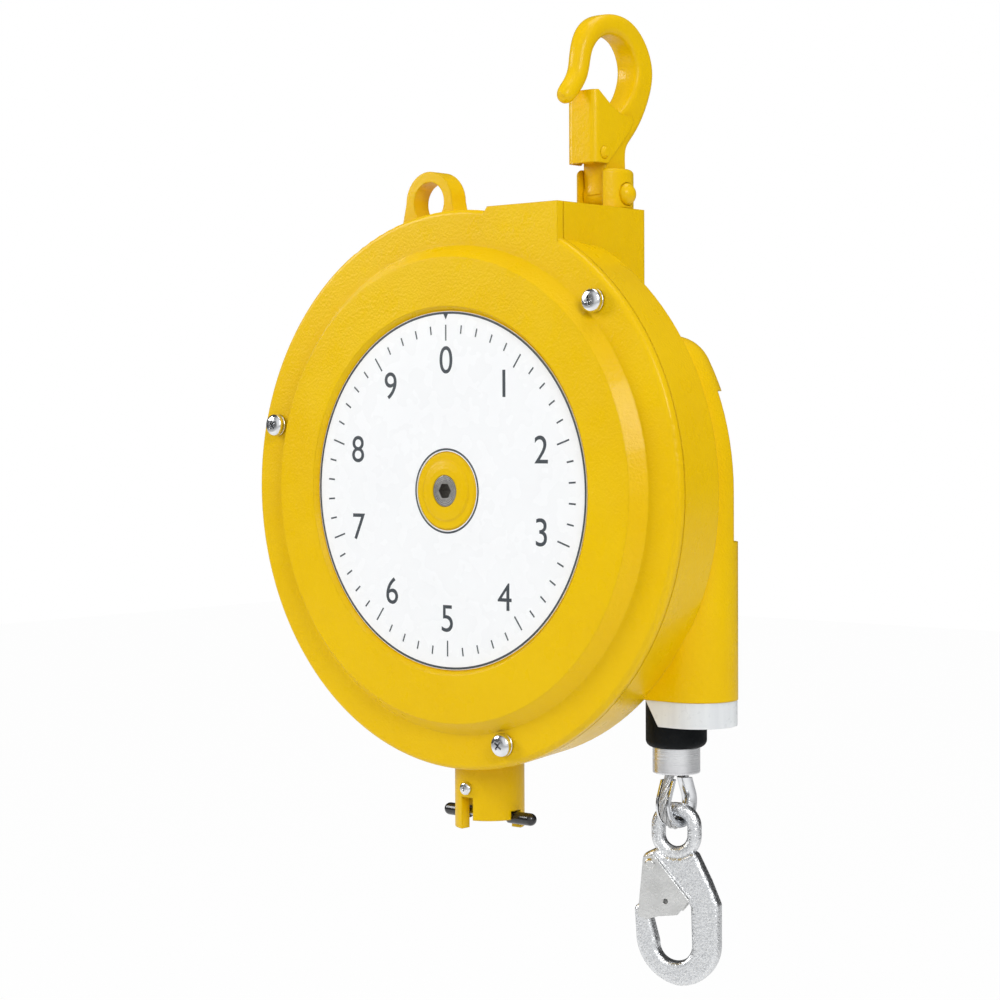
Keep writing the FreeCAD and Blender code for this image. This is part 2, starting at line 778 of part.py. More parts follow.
def cable_run():
    """From the drum's first groove down to the ferrule, bending gently into the guide's line."""
    half = float(groove_first)
    line = float(cable_line)
    top = Vector(line, half, -float(fit_gap))
    leave = Vector(line, half, -32)
    join = Vector(line, float(outlet_y), -float(outlet_drop) + 8)
    end = Vector(line, float(outlet_y), -float(bumper_bottom))
    edges = []
    start = top
    for corner, after in ((leave, join), (join, end)):
        arriving = (corner - start).normalize()
        leaving = (after - corner).normalize()
        turn = arriving.getAngle(leaving)
        reach = 0.3 * min((corner - start).Length, (after - corner).Length)
        enter = corner - arriving * reach
        depart = corner + leaving * reach
        sagitta = reach * math.tan(turn / 4)
        middle = (enter + depart) * 0.5 + (corner - (enter + depart) * 0.5).normalize() * sagitta
        edges.append(Part.LineSegment(start, enter).toShape())
        edges.append(Part.Arc(enter, middle, depart).toShape())
        start = depart
    edges.append(Part.LineSegment(start, end).toShape())
    path = Part.Wire(edges)
    ring = Part.Wire(Part.Circle(top, Vector(0, 0, 1), float(cable_rad)).toShape())
    tube = path.makePipeShell([ring], True, False)
    expected = math.pi * float(cable_rad) ** 2 * path.Length
    print("cable run %.1f mm, volume ratio %.4f" % (path.Length, tube.Volume / expected))
    return feature("cable_run", tube)


def cable_guide():
    host = body("cable_guide")
    skirt = outlet_rad - fit_gap
    room = skirt - guide_wall
    low = -(outlet_drop + guide_drop)
    lump(host, "AdditiveCylinder", "skirt_round", (outlet_x, outlet_y, low), Radius=skirt, Height=guide_drop)
    padded(host, "skirt_side", "front", [
        (guide_open, -outlet_drop), (guide_open + guide_slant, low),
        (outlet_x, low), (outlet_x, -outlet_drop),
    ], outlet_y - skirt, skirt * 2)
    lump(host, "SubtractiveCylinder", "room_round", (outlet_x, outlet_y, low),
         Radius=room, Height=guide_drop)
    lump(host, "SubtractiveBox", "room_side", (guide_open - guide_wall, outlet_y - room, low),
         Length=outlet_x - guide_open + guide_wall, Width=room * 2, Height=guide_drop)
    plug_rad = outlet_inner - run_gap
    lump(host, "AdditiveCylinder", "plug_round", (outlet_x, outlet_y, -outlet_drop),
         Radius=plug_rad, Height=guide_plug)
    lump(host, "AdditiveBox", "plug_side",
         (outlet_left + thin_wall + run_gap, outlet_y - plug_rad, -outlet_drop),
         Length=outlet_x - outlet_left - thin_wall - run_gap, Width=plug_rad * 2, Height=guide_plug)
    lump(host, "SubtractiveCylinder", "cable_hole", (cable_line, outlet_y, -outlet_drop),
         Radius=guide_hole, Height=guide_plug)
    lump(host, "SubtractiveCone", "bell_mouth", (cable_line, outlet_y, -(outlet_drop - guide_plug / 2)),
         Radius1=guide_hole, Radius2=guide_hole * 1.6, Height=guide_plug / 2)
    return host


def bumper():
    host = body("bumper")
    lump(host, "AdditiveCylinder", "bumper_form", (cable_line, outlet_y, -bumper_bottom),
         Radius=bumper_rad, Height=bumper_bottom - outlet_drop - fit_gap)
    low = -float(bumper_bottom)
    rounded(host, "bumper_edge", bumper_round, lambda edge: (
        isinstance(edge.Curve, Part.Circle) and abs(edge.Curve.Center.z - low) < 0.01))
    lump(host, "SubtractiveCylinder", "bumper_bore", (cable_line, outlet_y, -bumper_bottom),
         Radius=cable_rad + run_gap, Height=bumper_bottom - outlet_drop)
    return host


def cable_ferrule():
    host = body("cable_ferrule")
    lump(host, "AdditiveCylinder", "ferrule_form", (cable_line, outlet_y, -(bumper_bottom + ferrule_long)),
         Radius=ferrule_rad, Height=ferrule_long)
    rounded(host, "ferrule_edge", plate_thick, lambda edge: (
        isinstance(edge.Curve, Part.Circle)
        and abs(edge.Curve.Center.z + float(bumper_bottom + ferrule_long)) < 0.01))
    return host


def loop_wire(radius, top_half, top, centre_z):
    """A teardrop in the side plane: two straight legs and the round bottom they are tangent to."""
    reach = top - centre_z
    lean = math.atan2(top_half, reach)
    span = math.hypot(top_half, reach)
    touch = math.asin(radius / span) - lean
    x = float(cable_line)
    y = float(outlet_y)
    foot = Vector(x, y + radius * math.cos(touch), centre_z + radius * math.sin(touch))
    other = Vector(x, 2 * y - foot.y, foot.z)
    bottom = Vector(x, y, centre_z - radius)
    legs = [
        Part.LineSegment(Vector(x, y + top_half, top), foot).toShape(),
        Part.Arc(foot, bottom, other).toShape(),
        Part.LineSegment(other, Vector(x, y - top_half, top)).toShape(),
    ]
    return Part.Wire(legs)


def cable_loop():
    top = -float(bumper_bottom + ferrule_long)
    centre_z = top - float(loop_drop)
    path = loop_wire(float(loop_rad), float(loop_top_half), top, centre_z)
    start = Vector(float(cable_line), float(outlet_y) + float(loop_top_half), top)
    ring = Part.Wire(Part.Circle(start, path.Edges[0].tangentAt(0), float(cable_rad)).toShape())
    tube = path.makePipeShell([ring], True, False)
    above = Part.makeBox(40, 40, 10, Vector(float(cable_line) - 20, float(outlet_y) - 20, top))
    return feature("cable_loop", tube.cut(above))


def thimble():
    """A trough that lines the inside of the loop, round across as well as along."""
    top = -float(bumper_bottom + ferrule_long)
    centre_z = top - float(loop_drop)
    path = loop_wire(float(loop_rad), float(loop_top_half), top, centre_z)
    along = path.Edges[0].tangentAt(0)
    start = Vector(float(cable_line), float(outlet_y + loop_top_half), top)
    sideways = Vector(1, 0, 0)
    outward = sideways.cross(along).normalize()
    if outward.y < 0:
        outward = outward * -1
    half = float(thimble_width) / 2
    edge = float(thimble_wall)
    rise = float(thimble_rise)
    bottom = float(cable_rad + run_gap)

    def at(across, out):
        return start + sideways * across + outward * out

    section = Part.Wire([
        arc_through(at(half, rise - edge), at(0, -bottom - edge), at(-half, rise - edge)),
        Part.LineSegment(at(-half, rise - edge), at(-half, rise)).toShape(),
        Part.LineSegment(at(-half, rise), at(edge - half, rise)).toShape(),
        arc_through(at(edge - half, rise), at(0, -bottom), at(half - edge, rise)),
        Part.LineSegment(at(half - edge, rise), at(half, rise)).toShape(),
        Part.LineSegment(at(half, rise), at(half, rise - edge)).toShape(),
    ])
    trough = path.makePipeShell([section], True, False)
    above = Part.makeBox(40, 40, 12, Vector(float(cable_line) - 20, float(outlet_y) - 20,
                                            top - float(cable_rad) * 1.2))
    keep = sorted(trough.cut(above).Solids, key=lambda piece: -piece.Volume)[0]
    return feature("thimble", keep)


# ---------------------------------------------------------------- snap hook

gate_pivot = (-9.7, -14.3)


def snap_place():
    """The snap hook's own frame: its plane is upright, its zero the middle of the eye."""
    top = -float(bumper_bottom + ferrule_long)
    hang = top - float(loop_drop + loop_rad) + float(cable_rad + thimble_wall + eye_gap)
    place = Vector(float(cable_line), float(outlet_y), hang + float(eye_bar - eye_rad))
    return Placement(place, Rotation(Vector(0, 0, 1), float(snap_turn)))


def arc_through(first, middle, last):
    return Part.Arc(first, middle, last).toShape()


def flat_outline(points):
    """A closed wire in the plane y = 0. A point marked True is the middle of an arc."""
    spots = [(Vector(across, 0, up), marked) for across, up, marked in points]
    edges = []
    index = 0
    while index < len(spots):
        start = spots[index][0]
        after, marked = spots[(index + 1) % len(spots)]
        if marked:
            end = spots[(index + 2) % len(spots)][0]
            edges.append(arc_through(start, after, end))
            index += 2
        else:
            edges.append(Part.LineSegment(start, after).toShape())
            index += 1
    return Part.Wire(edges)


def flat_piece(points, thick):
    """A plate with this outline, its middle plane at y = 0."""
    plate = Part.Face(flat_outline(points)).extrude(Vector(0, thick, 0))
    plate.translate(Vector(0, -thick / 2, 0))
    return plate


def snap_eye():
    """The forged eye: a round bar bent to a loop a little longer than it is wide."""
    radius = float(eye_rad)
    low = -float(eye_long)
    flat = float(eye_flat)
    knee = flat + (radius - flat) * math.sqrt(0.5)
    path = Part.Wire([
        Part.LineSegment(Vector(radius, 0, low), Vector(radius, 0, flat)).toShape(),
        arc_through(Vector(radius, 0, flat), Vector(knee, 0, knee), Vector(flat, 0, radius)),
        Part.LineSegment(Vector(flat, 0, radius), Vector(-flat, 0, radius)).toShape(),
        arc_through(Vector(-flat, 0, radius), Vector(-knee, 0, knee), Vector(-radius, 0, flat)),
        Part.LineSegment(Vector(-radius, 0, flat), Vector(-radius, 0, low)).toShape(),
        arc_through(Vector(-radius, 0, low), Vector(0, 0, low - radius), Vector(radius, 0, low)),
    ])
    ring = Part.Wire(Part.Circle(Vector(radius, 0, low), Vector(0, 0, 1), float(eye_bar)).toShape())
    return path.makePipeShell([ring], True, False)


def snap_hook():
    thick = float(snap_thick)
    forged = flat_piece([
        (-7.6, -8.0, False), (-12.6, -10.6, False), (-13.2, -16.6, True), (-7.6, -19.0, False),
        (-4.8, -19.6, False), (6.4, -31.0, False), (6.8, -46.4, False),
        (-0.4, -54.2, True), (-7.4, -46.6, False), (-10.6, -34.4, False),
        (-13.6, -31.0, True), (-17.2, -33.6, False), (-16.6, -43.6, False),
        (-11.4, -57.0, True), (1.0, -63.7, False), (13.6, -58.6, True), (18.4, -47.0, False),
        (18.4, -30.0, False), (14.6, -20.8, False), (9.4, -10.4, False), (7.6, -8.0, False),
        (0.0, -11.6, True),
    ], thick)
    corners = [edge for edge in forged.Edges if edge.BoundBox.YLength > thick * 0.9]
    forged = forged.makeFillet(float(snap_corner), corners)
    rims = [edge for edge in forged.Edges if edge.BoundBox.YLength < 0.01]
    forged = forged.makeFillet(float(snap_round), rims)
    eye = snap_eye()
    pass_hole = Part.makeCylinder(
        float(gate_rivet_rad), thick * 2, Vector(gate_pivot[0], -thick, gate_pivot[1]), Vector(0, 1, 0))
    pocket = Part.makeCylinder(float(gate_spring_room), float(gate_spring_deep), Vector(
        gate_pivot[0], thick / 2 - float(gate_spring_deep), gate_pivot[1]), Vector(0, 1, 0))
    hook = forged.fuse(eye).cut([pass_hole, pocket])
    return feature("snap_hook", hook.Solids[0], snap_place())


def snap_gate():
    """A folded sheet gate: two cheeks outside the forging, joined by a web over the tip side."""
    thick = float(snap_thick)
    sheet_thick = float(gate_sheet)
    gap = float(gate_gap)
    cheek_points = [
        (-12.6, -11.6, False), (-8.4, -10.8, False), (6.4, -28.4, False), (1.6, -34.4, False),
        (-6.2, -35.4, False), (-10.9, -36.8, False), (-15.0, -35.8, False),
    ]
    pieces = []
    for side in (-1, 1):
        cheek = flat_piece(cheek_points, sheet_thick)
        cheek.translate(Vector(0, side * (thick / 2 + gap + sheet_thick / 2), 0))
        pieces.append(cheek)
    span = thick + gap * 2
    web = flat_piece([
        (-13.2, -19.4, False), (-12.1, -19.4, False), (-13.2, -30.2, False), (-14.3, -30.2, False),
    ], span + 0.2)
    gate = pieces[0].fuse([pieces[1], web])
    hole = Part.makeCylinder(float(gate_rivet_rad) + 0.05, 30,
                             Vector(gate_pivot[0], -15, gate_pivot[1]), Vector(0, 1, 0))
    eyelet = Part.makeCylinder(1.1, 30, Vector(-3.3, -15, -29.1), Vector(0, 1, 0))
    return feature("snap_gate", gate.cut([hole, eyelet]).Solids[0], snap_place())


def gate_rivet():
    thick = float(snap_thick) / 2 + float(gate_gap) + float(gate_sheet)
    start = Vector(gate_pivot[0], -thick, gate_pivot[1])
    pin = Part.makeCylinder(float(gate_rivet_rad), thick * 2, start, Vector(0, 1, 0))
    for side in (-1, 1):
        head = Part.makeCone(2.3, 1.5, 0.9, Vector(gate_pivot[0], side * thick, gate_pivot[1]),
                             Vector(0, side, 0))
        pin = pin.fuse(head)
    return feature("gate_rivet", pin.removeSplitter(), snap_place())


def gate_spring():
    """One open turn of wire round the rivet, in the forging's pocket behind one cheek."""
    wire = float(gate_spring_wire)
    radius = float(gate_rivet_rad + run_gap) + wire
    deep = float(snap_thick) / 2 - float(gate_spring_deep) / 2
    turn = Part.makeTorus(radius, wire, Vector(0, 0, 0), Vector(0, 0, 1), -180, 180, 330)
    local = Placement(Vector(gate_pivot[0], deep, gate_pivot[1]), turned_to["y"])
    return feature("gate_spring", turn, snap_place().multiply(local))


# ---------------------------------------------------------------- lock

def lock_plunger():
    host = body("lock_plunger")
    skirt = plunger_top + plunger_skirt
    lump(host, "AdditiveCylinder", "plunger_form", (0, lock_y, -skirt),
         Radius=plunger_rad, Height=plunger_skirt)
    lump(host, "SubtractiveCylinder", "spring_room", (0, lock_y, -skirt),
         Radius=plunger_rad - thin_wall / 1.5, Height=plunger_skirt - wall)
    lump(host, "AdditiveCylinder", "stem", (0, lock_y, -(bar_at + cap_rad)),
         Radius=stem_rad, Height=bar_at + cap_rad - plunger_top)
    lump(host, "SubtractiveCylinder", "bar_hole", (-stem_rad * 2, lock_y, -bar_at), "x",
         Radius=bar_rad, Height=stem_rad * 4)
    return host


def lock_plug():
    disc = ring_of("plug_disc", stem_rad + run_gap, lock_bore_rad, None, plug_thick, "z",
                   (0, lock_y, -(plug_top + plug_thick)))
    thread = solid("Cylinder", "plug_thread", (0, lock_y - lock_rad, -(plug_top + plug_thick / 2)), "y",
                   Radius=small_screw_rad, Height=lock_rad - stem_rad - run_gap * 4)
    return cut("lock_plug", disc, thread)


def coil(name, where, radius, wire, turns, length):
    """A round wire coil that rises along its own Z from where."""
    path = Part.makeHelix(length / turns, length, radius)
    ring = Part.Wire(Part.Circle(Vector(radius, 0, 0), Vector(0, 1, 0), wire).toShape())
    return feature(name, Part.Wire(path).makePipeShell([ring], True, True), where)


def lock_spring():
    wire = float(lock_wire)
    low = -float(plug_top) + wire + 0.05
    high = -float(plunger_top + wall) - wire - 0.05
    radius = (float(stem_rad) + float(plunger_rad - thin_wall / 1.5)) / 2
    where = Placement(Vector(0, float(lock_y), low), turned_to["z"])
    return coil("lock_spring", where, radius, wire, float(lock_turns), high - low)


def lock_crossbar():
    return group("lock_crossbar", [solid("Cylinder", "crossbar_rod", (-bar_half, lock_y, -bar_at), "x",
                                         Radius=bar_rad, Height=bar_half * 2)])


def lock_bar_caps():
    caps = []
    long = bar_half - cap_inner + cap_end
    for index, start in enumerate((-(bar_half + cap_end), cap_inner)):
        sleeve = solid("Cylinder", "cap%d" % index, (start, lock_y, -bar_at), "x",
                       Radius=cap_rad, Height=long)
        room = solid("Cylinder", "cap_room%d" % index, (-bar_half, lock_y, -bar_at), "x",
                     Radius=bar_rad, Height=bar_half * 2)
        tip_at = start if index == 0 else start + long
        tip = solid("Sphere", "cap_tip%d" % index, (tip_at, lock_y, -bar_at), Radius=cap_rad)
        caps.append(cut("bar_cap%d" % index, fused("cap_form%d" % index, sleeve, tip), room))
    return group("lock_bar_caps", caps)


def lock_screw():
    return pan_screw("lock_screw", (0, lock_y - lock_rad, -(plug_top + plug_thick / 2)), "y",
                     small_screw_rad, lock_rad - stem_rad - run_gap * 4, small_head_rad, small_head_rise)


# ---------------------------------------------------------------- yoke and top hook

def hook_yoke():
    host = body("hook_yoke")
    foot = block_top + yoke_gap
    lump(host, "AdditiveCylinder", "yoke_form", (hook_x, hook_y, foot),
         Radius=yoke_rad, Height=yoke_top - foot)
    rounded(host, "yoke_edge", edge_round, lambda edge: (
        isinstance(edge.Curve, Part.Circle)
        and abs(edge.Curve.Center.z - float(yoke_top)) < 0.01))
    lump(host, "AdditiveCylinder", "yoke_spigot", (hook_x, hook_y, block_top - spigot_deep),
         Radius=spigot_rad, Height=spigot_deep + yoke_gap)
    lump(host, "SubtractiveBox", "yoke_gap_cut",
         (hook_x - yoke_slot / 2, hook_y - yoke_rad, foot - yoke_floor),
         Length=yoke_slot, Width=yoke_rad * 2, Height=yoke_top - foot + yoke_floor)
    lump(host, "AdditiveCylinder", "spindle", (hook_x, hook_y, spindle_end),
         Radius=spindle_rad, Height=block_top - spigot_deep - spindle_end)
    lump(host, "SubtractiveCylinder", "pin_seat", (hook_x + yoke_rad - pin_rad / 4, hook_y, foot + pin_at),
         "x", Radius=pin_head_rad + fit_gap, Height=pin_rad)
    lump(host, "SubtractiveCylinder", "pin_hole", (hook_x - yoke_rad, hook_y, foot + pin_at), "x",
         Radius=pin_rad, Height=yoke_rad * 2)
    return host


def yoke_pin():
    high = block_top + yoke_gap + pin_at
    shaft = solid("Cylinder", "pin_shaft", (hook_x - yoke_rad, hook_y, high), "x",
                  Radius=pin_rad, Height=yoke_rad * 2)
    rim_rise = pin_head_rise * 0.3
    right = solid("Cylinder", "pin_rim", (hook_x + yoke_rad - pin_rad / 4, hook_y, high), "x",
                  Radius=pin_head_rad, Height=rim_rise)
    sphere_rad = (pin_head_rad * pin_head_rad + pin_head_rise * pin_head_rise) / (pin_head_rise * 2)
    ball = solid("Sphere", "pin_ball",
                 (hook_x + yoke_rad - pin_rad / 4 + rim_rise + pin_head_rise - sphere_rad, hook_y, high),
                 Radius=sphere_rad)
    side = solid("Cylinder", "pin_side", (hook_x + yoke_rad - pin_rad / 4 + rim_rise, hook_y, high), "x",
                 Radius=pin_head_rad, Height=pin_head_rise)
    dome = doc.addObject("Part::Common", "pin_dome")
    dome.Base = ball
    dome.Tool = side
    left = solid("Sphere", "pin_tail", (hook_x - yoke_rad + pin_rad / 2, hook_y, high), Radius=pin_rad)
    return fused("yoke_pin", shaft, right, dome, left)


def swivel_nut():
    return hexagon("swivel_nut", (hook_x, hook_y, spindle_end + plate_thick), "z",
                   nut_flats, swivel_nut_thick, spindle_rad)


def swivel_washer():
    top = bearing_end - fit_gap
    return ring_of("swivel_washer", spindle_rad, pocket_rad - fit_gap * 2, None,
                   top - spindle_end - plate_thick - swivel_nut_thick, "z",
                   (hook_x, hook_y, spindle_end + plate_thick + swivel_nut_thick))


def rounded_section(centre, across, half_in, half_x, corner):
    """A rounded rectangle at centre, half_in along across and half_x along X."""
    corner = min(corner, half_in * 0.98, half_x * 0.98)
    sideways = Vector(1, 0, 0)
    points = []
    for first, second in ((1, 1), (-1, 1), (-1, -1), (1, -1)):
        middle = centre + across * (first * (half_in - corner)) + sideways * (second * (half_x - corner))
        begin = 0 if first == second else 90
        for step in (0, 30, 60, 90):
            swing = math.radians(step if first == second else 90 - step)
            points.append(middle + across * (first * corner * math.cos(swing))
                          + sideways * (second * corner * math.sin(swing)))
    curve = Part.BSplineCurve()
    curve.interpolate(points, True)
    return Part.Wire(curve.toShape())


def top_hook():
    """A forged hook: one loft along its centre line, round at the nose and flat at the shank."""
    middle = Vector(float(hook_x), float(bowl_y), float(bowl_z))
    inner = float(bowl_rad)
    stations = []

    def add(y, z, heading, half_in, half_x, corner):
        along = math.radians(heading)
        across = Vector(0, -math.sin(along), math.cos(along))
        centre = Vector(float(hook_x), y, z)
        stations.append(rounded_section(centre, across, half_in, half_x, corner))

    nose = float(nose_half)
    crown = float(crown_half)
    back = float(back_half)
    corner_rad = float(forge_corner)
    bowl_angles = (168, 145, 120, 90, 60, 30, 0, -25)
    first_y = middle.y + (inner + nose) * math.cos(math.radians(bowl_angles[0]))
    first_z = middle.z + (inner + nose) * math.sin(math.radians(bowl_angles[0]))
    add(first_y - 12.4, first_z - 18.8, 28, nose * 0.42, nose * 0.42, nose)
    add(first_y - 10.8, first_z - 18.2, 32, nose * 0.78, nose * 0.78, nose)
    add(first_y - 6.8, first_z - 14.6, 48, nose * 0.95, nose * 0.95, nose)
    add(first_y - 2.0, first_z - 8.0, 68, nose, nose, nose)
    for angle in bowl_angles:
        if angle > 90:
            share = (180 - angle) / 90.0
            half = nose + (crown - nose) * share
            wide = nose + (float(tang_half) * 0.96 - nose) * share
            corner = nose + (corner_rad * 1.2 - nose) * share
            reach = inner + half
        else:
            share = min((90 - angle) / 90.0, 1.0)
            half = crown + (back - crown) * share
            wide = float(tang_half) * (0.96 + 0.04 * share)
            corner = corner_rad * (1.2 - 0.2 * share)
            reach = inner + half + float(bowl_open) * share
        turn = math.radians(angle)
        add(middle.y + reach * math.cos(turn), middle.z + reach * math.sin(turn),
            angle - 90, half, wide, corner)
    axis_y = float(hook_y)
    high = float(block_top + yoke_gap + pin_at)
    shank = float(shank_half)
    add(axis_y + 11.4, middle.z - 19.6, 222, back * 1.12, float(tang_half), corner_rad)
    add(axis_y + 3.6, middle.z - 27.4, 240, shank * 0.98, float(tang_half), corner_rad)
    add(axis_y, middle.z - 35.0, 270, shank, float(tang_half), corner_rad * 0.8)
    add(axis_y, high + 4.0, 270, shank, float(tang_half), corner_rad * 0.6)
    add(axis_y, high, 270, shank, float(tang_half), corner_rad * 0.6)
    slab = Part.makeBox(float(tang_half) * 2, 120, 120, Vector(
        float(hook_x - tang_half), axis_y - 60, high - 20))
    forged = Part.makeLoft(stations, True, False).common(slab)
    foot = Part.makeCylinder(float(tang_foot), float(tang_half) * 2,
                             Vector(float(hook_x) - float(tang_half), axis_y, high), Vector(1, 0, 0))
    boss = Part.makeCylinder(float(latch_boss), float(tang_half), Vector(
        float(hook_x) - float(tang_half) / 2, float(latch_y), float(latch_z)), Vector(1, 0, 0))
    pin = Part.makeCylinder(float(pin_rad) + float(run_gap), 60, Vector(
        float(hook_x) - 30, axis_y, high), Vector(1, 0, 0))
    rivet = Part.makeCylinder(float(latch_rivet_rad), 60, Vector(
        float(hook_x) - 30, float(latch_y), float(latch_z)), Vector(1, 0, 0))
    shape = forged.fuse([foot, boss]).cut([pin, rivet])
    return feature("top_hook", sorted(shape.Solids, key=lambda piece: -piece.Volume)[0])


def side_plate(points, x_low, thick):
    """A plate of this (y, z) outline standing in the side plane."""
    spots = [Vector(x_low, y, z) for y, z in points]
    wire = Part.makePolygon(spots + [spots[0]])
    return Part.Face(wire).extrude(Vector(thick, 0, 0))


def hook_latch():
    """A folded sheet latch: a web across the throat and two cheeks beside the shank."""
    thick = float(latch_sheet)
    inside = float(tang_half) + float(latch_gap)
    web = float(latch_web)
    pivot_y = float(latch_y)
    pivot_z = float(latch_z)
    middle = float(hook_x)
    side = side_plate([
        (web, pivot_z - 4.2), (web, pivot_z + 25.2), (pivot_y - 3.6, pivot_z + 25.3),
        (pivot_y + 5.5, pivot_z + 19.2), (pivot_y + 11.6, pivot_z + 16.6),
        (pivot_y + 18.6, pivot_z + 16.3), (pivot_y + 19.8, pivot_z + 14.4),
        (pivot_y + 17.2, pivot_z + 10.1), (pivot_y + 4.6, pivot_z - 2.0), (pivot_y + 2.4, pivot_z - 4.2),
    ], middle - 30, 60)

    def channel(half, front, bend):
        """An upright bar whose two front corners are rounded, as the bent sheet is."""
        bar = Part.makeBox(half * 2, 60, 60, Vector(middle - half, front, pivot_z - 20))
        edges = [edge for edge in bar.Edges
                 if edge.BoundBox.ZLength > 50 and abs(edge.BoundBox.YMin - front) < 0.01]
        return bar.makeFillet(bend, edges)

    bent = channel(inside + thick, web, float(latch_bend)).cut(
        channel(inside, web + thick, float(latch_bend) - thick))
    latch = bent.common(side)
    hole = Part.makeCylinder(float(latch_rivet_rad) + float(run_gap), 60, Vector(
        middle - 30, pivot_y, pivot_z), Vector(1, 0, 0))
    return feature("hook_latch", latch.cut(hole).Solids[0])


def latch_rivet():
    reach = float(tang_half + latch_gap + latch_sheet)
    middle = Vector(float(hook_x), float(latch_y), float(latch_z))
    pin = Part.makeCylinder(float(latch_rivet_rad), reach * 2, middle - Vector(reach, 0, 0), Vector(1, 0, 0))
    for side in (-1, 1):
        head = Part.makeCone(2.7, 1.6, 1.5, middle + Vector(side * (reach + 0.05), 0, 0), Vector(side, 0, 0))
        neck = Part.makeCylinder(float(latch_rivet_rad), 0.06, middle + Vector(side * reach, 0, 0),
                                 Vector(side, 0, 0))
        pin = pin.fuse([head, neck])
    return feature("latch_rivet", pin.removeSplitter())


def latch_spring():
    """Two coils on the rivet, one on each side of the hook's boss."""
    wire = 0.3
    radius = float(latch_rivet_rad) + wire + 0.1
    start = float(tang_half) / 2 + wire + 0.2
    length = float(tang_half + latch_gap) - start - wire - 0.1
    coils = []
    for side in (-1, 1):
        low = float(hook_x) + (start if side > 0 else -start - length)
        where = Placement(Vector(low, float(latch_y), float(latch_z)), turned_to["x"])
        coils.append(coil("latch_coil%d" % (side + 1), where, radius, wire, 2.0, length))
    return group("latch_spring", coils)


# ---------------------------------------------------------------- the whole balancer

washer_at = back_at + washer_thick
nodes = [
    rear_case(),
    front_cover(),
    *cover_screws(),
    face_plate(),
    center_shaft(),
    ring_of("front_bush", shaft_rad + run_gap, bush_rad, split_at - front_bush_long, front_bush_long),
    ring_of("rear_bush", shaft_rad + run_gap, bush_rad, back_at - bush_long, bush_long),
    ring_of("spring_arbor", shaft_rad, arbor_rad, barrel_front + lid_thick, web_front - barrel_front
            - lid_thick - strip_gap),
    ring_of("shaft_washer", shaft_rad, bush_rad * 1.4, back_at + fit_gap / 3, washer_thick),
    hexagon("shaft_nut", (0, washer_at + fit_gap / 3, 0), "y", nut_flats, nut_thick, shaft_rad),
    drum(),
    ring_of("drum_lid", arbor_rad + fit_gap, barrel_rad - barrel_wall, barrel_front, lid_thick),
    ring_of("drum_bush", shaft_rad + run_gap, bush_rad, web_front,
            back_at - bush_long - case_draft - web_front),
    power_spring(),
    cable_on_drum(),
    cable_run(),
    cable_guide(),
    bumper(),
    cable_ferrule(),
    thimble(),
    cable_loop(),
    snap_hook(),
    snap_gate(),
    gate_rivet(),
    gate_spring(),
    lock_plunger(),
    lock_spring(),
    lock_plug(),
    lock_crossbar(),
    lock_bar_caps(),
    lock_screw(),
    hook_yoke(),
    yoke_pin(),
    swivel_nut(),
    swivel_washer(),
    top_hook(),
    hook_latch(),
    latch_rivet(),
    latch_spring(),
]

doc.recompute()
for thing in doc.Objects:
    if "Invalid" in thing.State or "Error" in thing.State:
        raise ValueError("%s is %s" % (thing.Name, thing.State))

os.makedirs("parts", exist_ok=True)
for node in nodes:
    shape = node.Shape
    if shape.isNull() or not shape.isValid() or not shape.Solids:
        raise ValueError(node.Label + " has no valid solid")
for node in nodes:
    for letter, number in (("x", hook_x), ("y", hook_y), ("z", seat_z)):
        bind(node, "Placement.Base." + letter, -number)
doc.recompute()
for node in nodes:
    node.Shape.exportStep("parts/%s.step" % node.Label)
    print("%-20s %d solid(s) %10.1f mm3" % (node.Label, len(node.Shape.Solids), node.Shape.Volume))
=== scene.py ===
# %% [markdown]
# # A spring balancer for hanging a tool
# A balancer holds a hand tool over a bench. A coiled spring inside a round case winds a cable on a
# drum, so that the tool seems to weigh nothing. The shapes come from a CAD model that is loaded
# first. What is built here is the look of each part: paint, zinc, rope, rubber and plastic, and the
# small details that a CAD model leaves out.

# %% The frame
import math

import bmesh
import bpy
from mathutils import Matrix, Vector


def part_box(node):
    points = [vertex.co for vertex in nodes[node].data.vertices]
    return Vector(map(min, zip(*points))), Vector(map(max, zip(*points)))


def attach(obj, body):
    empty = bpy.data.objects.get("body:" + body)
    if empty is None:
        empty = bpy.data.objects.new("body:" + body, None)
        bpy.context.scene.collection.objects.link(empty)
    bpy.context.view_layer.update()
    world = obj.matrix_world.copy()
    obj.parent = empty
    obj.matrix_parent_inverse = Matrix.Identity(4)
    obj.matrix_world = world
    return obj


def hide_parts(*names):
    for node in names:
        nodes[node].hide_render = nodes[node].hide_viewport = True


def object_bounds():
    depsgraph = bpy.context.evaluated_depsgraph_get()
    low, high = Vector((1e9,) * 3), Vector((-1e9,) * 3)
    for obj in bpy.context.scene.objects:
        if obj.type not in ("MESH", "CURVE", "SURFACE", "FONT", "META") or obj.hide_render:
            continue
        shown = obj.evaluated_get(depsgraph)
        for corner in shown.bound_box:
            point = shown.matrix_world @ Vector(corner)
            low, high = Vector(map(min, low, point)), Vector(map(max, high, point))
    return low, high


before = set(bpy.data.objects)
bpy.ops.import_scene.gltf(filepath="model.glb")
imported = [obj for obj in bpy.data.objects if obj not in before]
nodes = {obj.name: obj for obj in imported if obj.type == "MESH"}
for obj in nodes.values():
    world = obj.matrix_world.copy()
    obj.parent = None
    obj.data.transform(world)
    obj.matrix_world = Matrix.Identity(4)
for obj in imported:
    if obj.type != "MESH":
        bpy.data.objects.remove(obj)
cad_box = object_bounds()
scene = bpy.context.scene

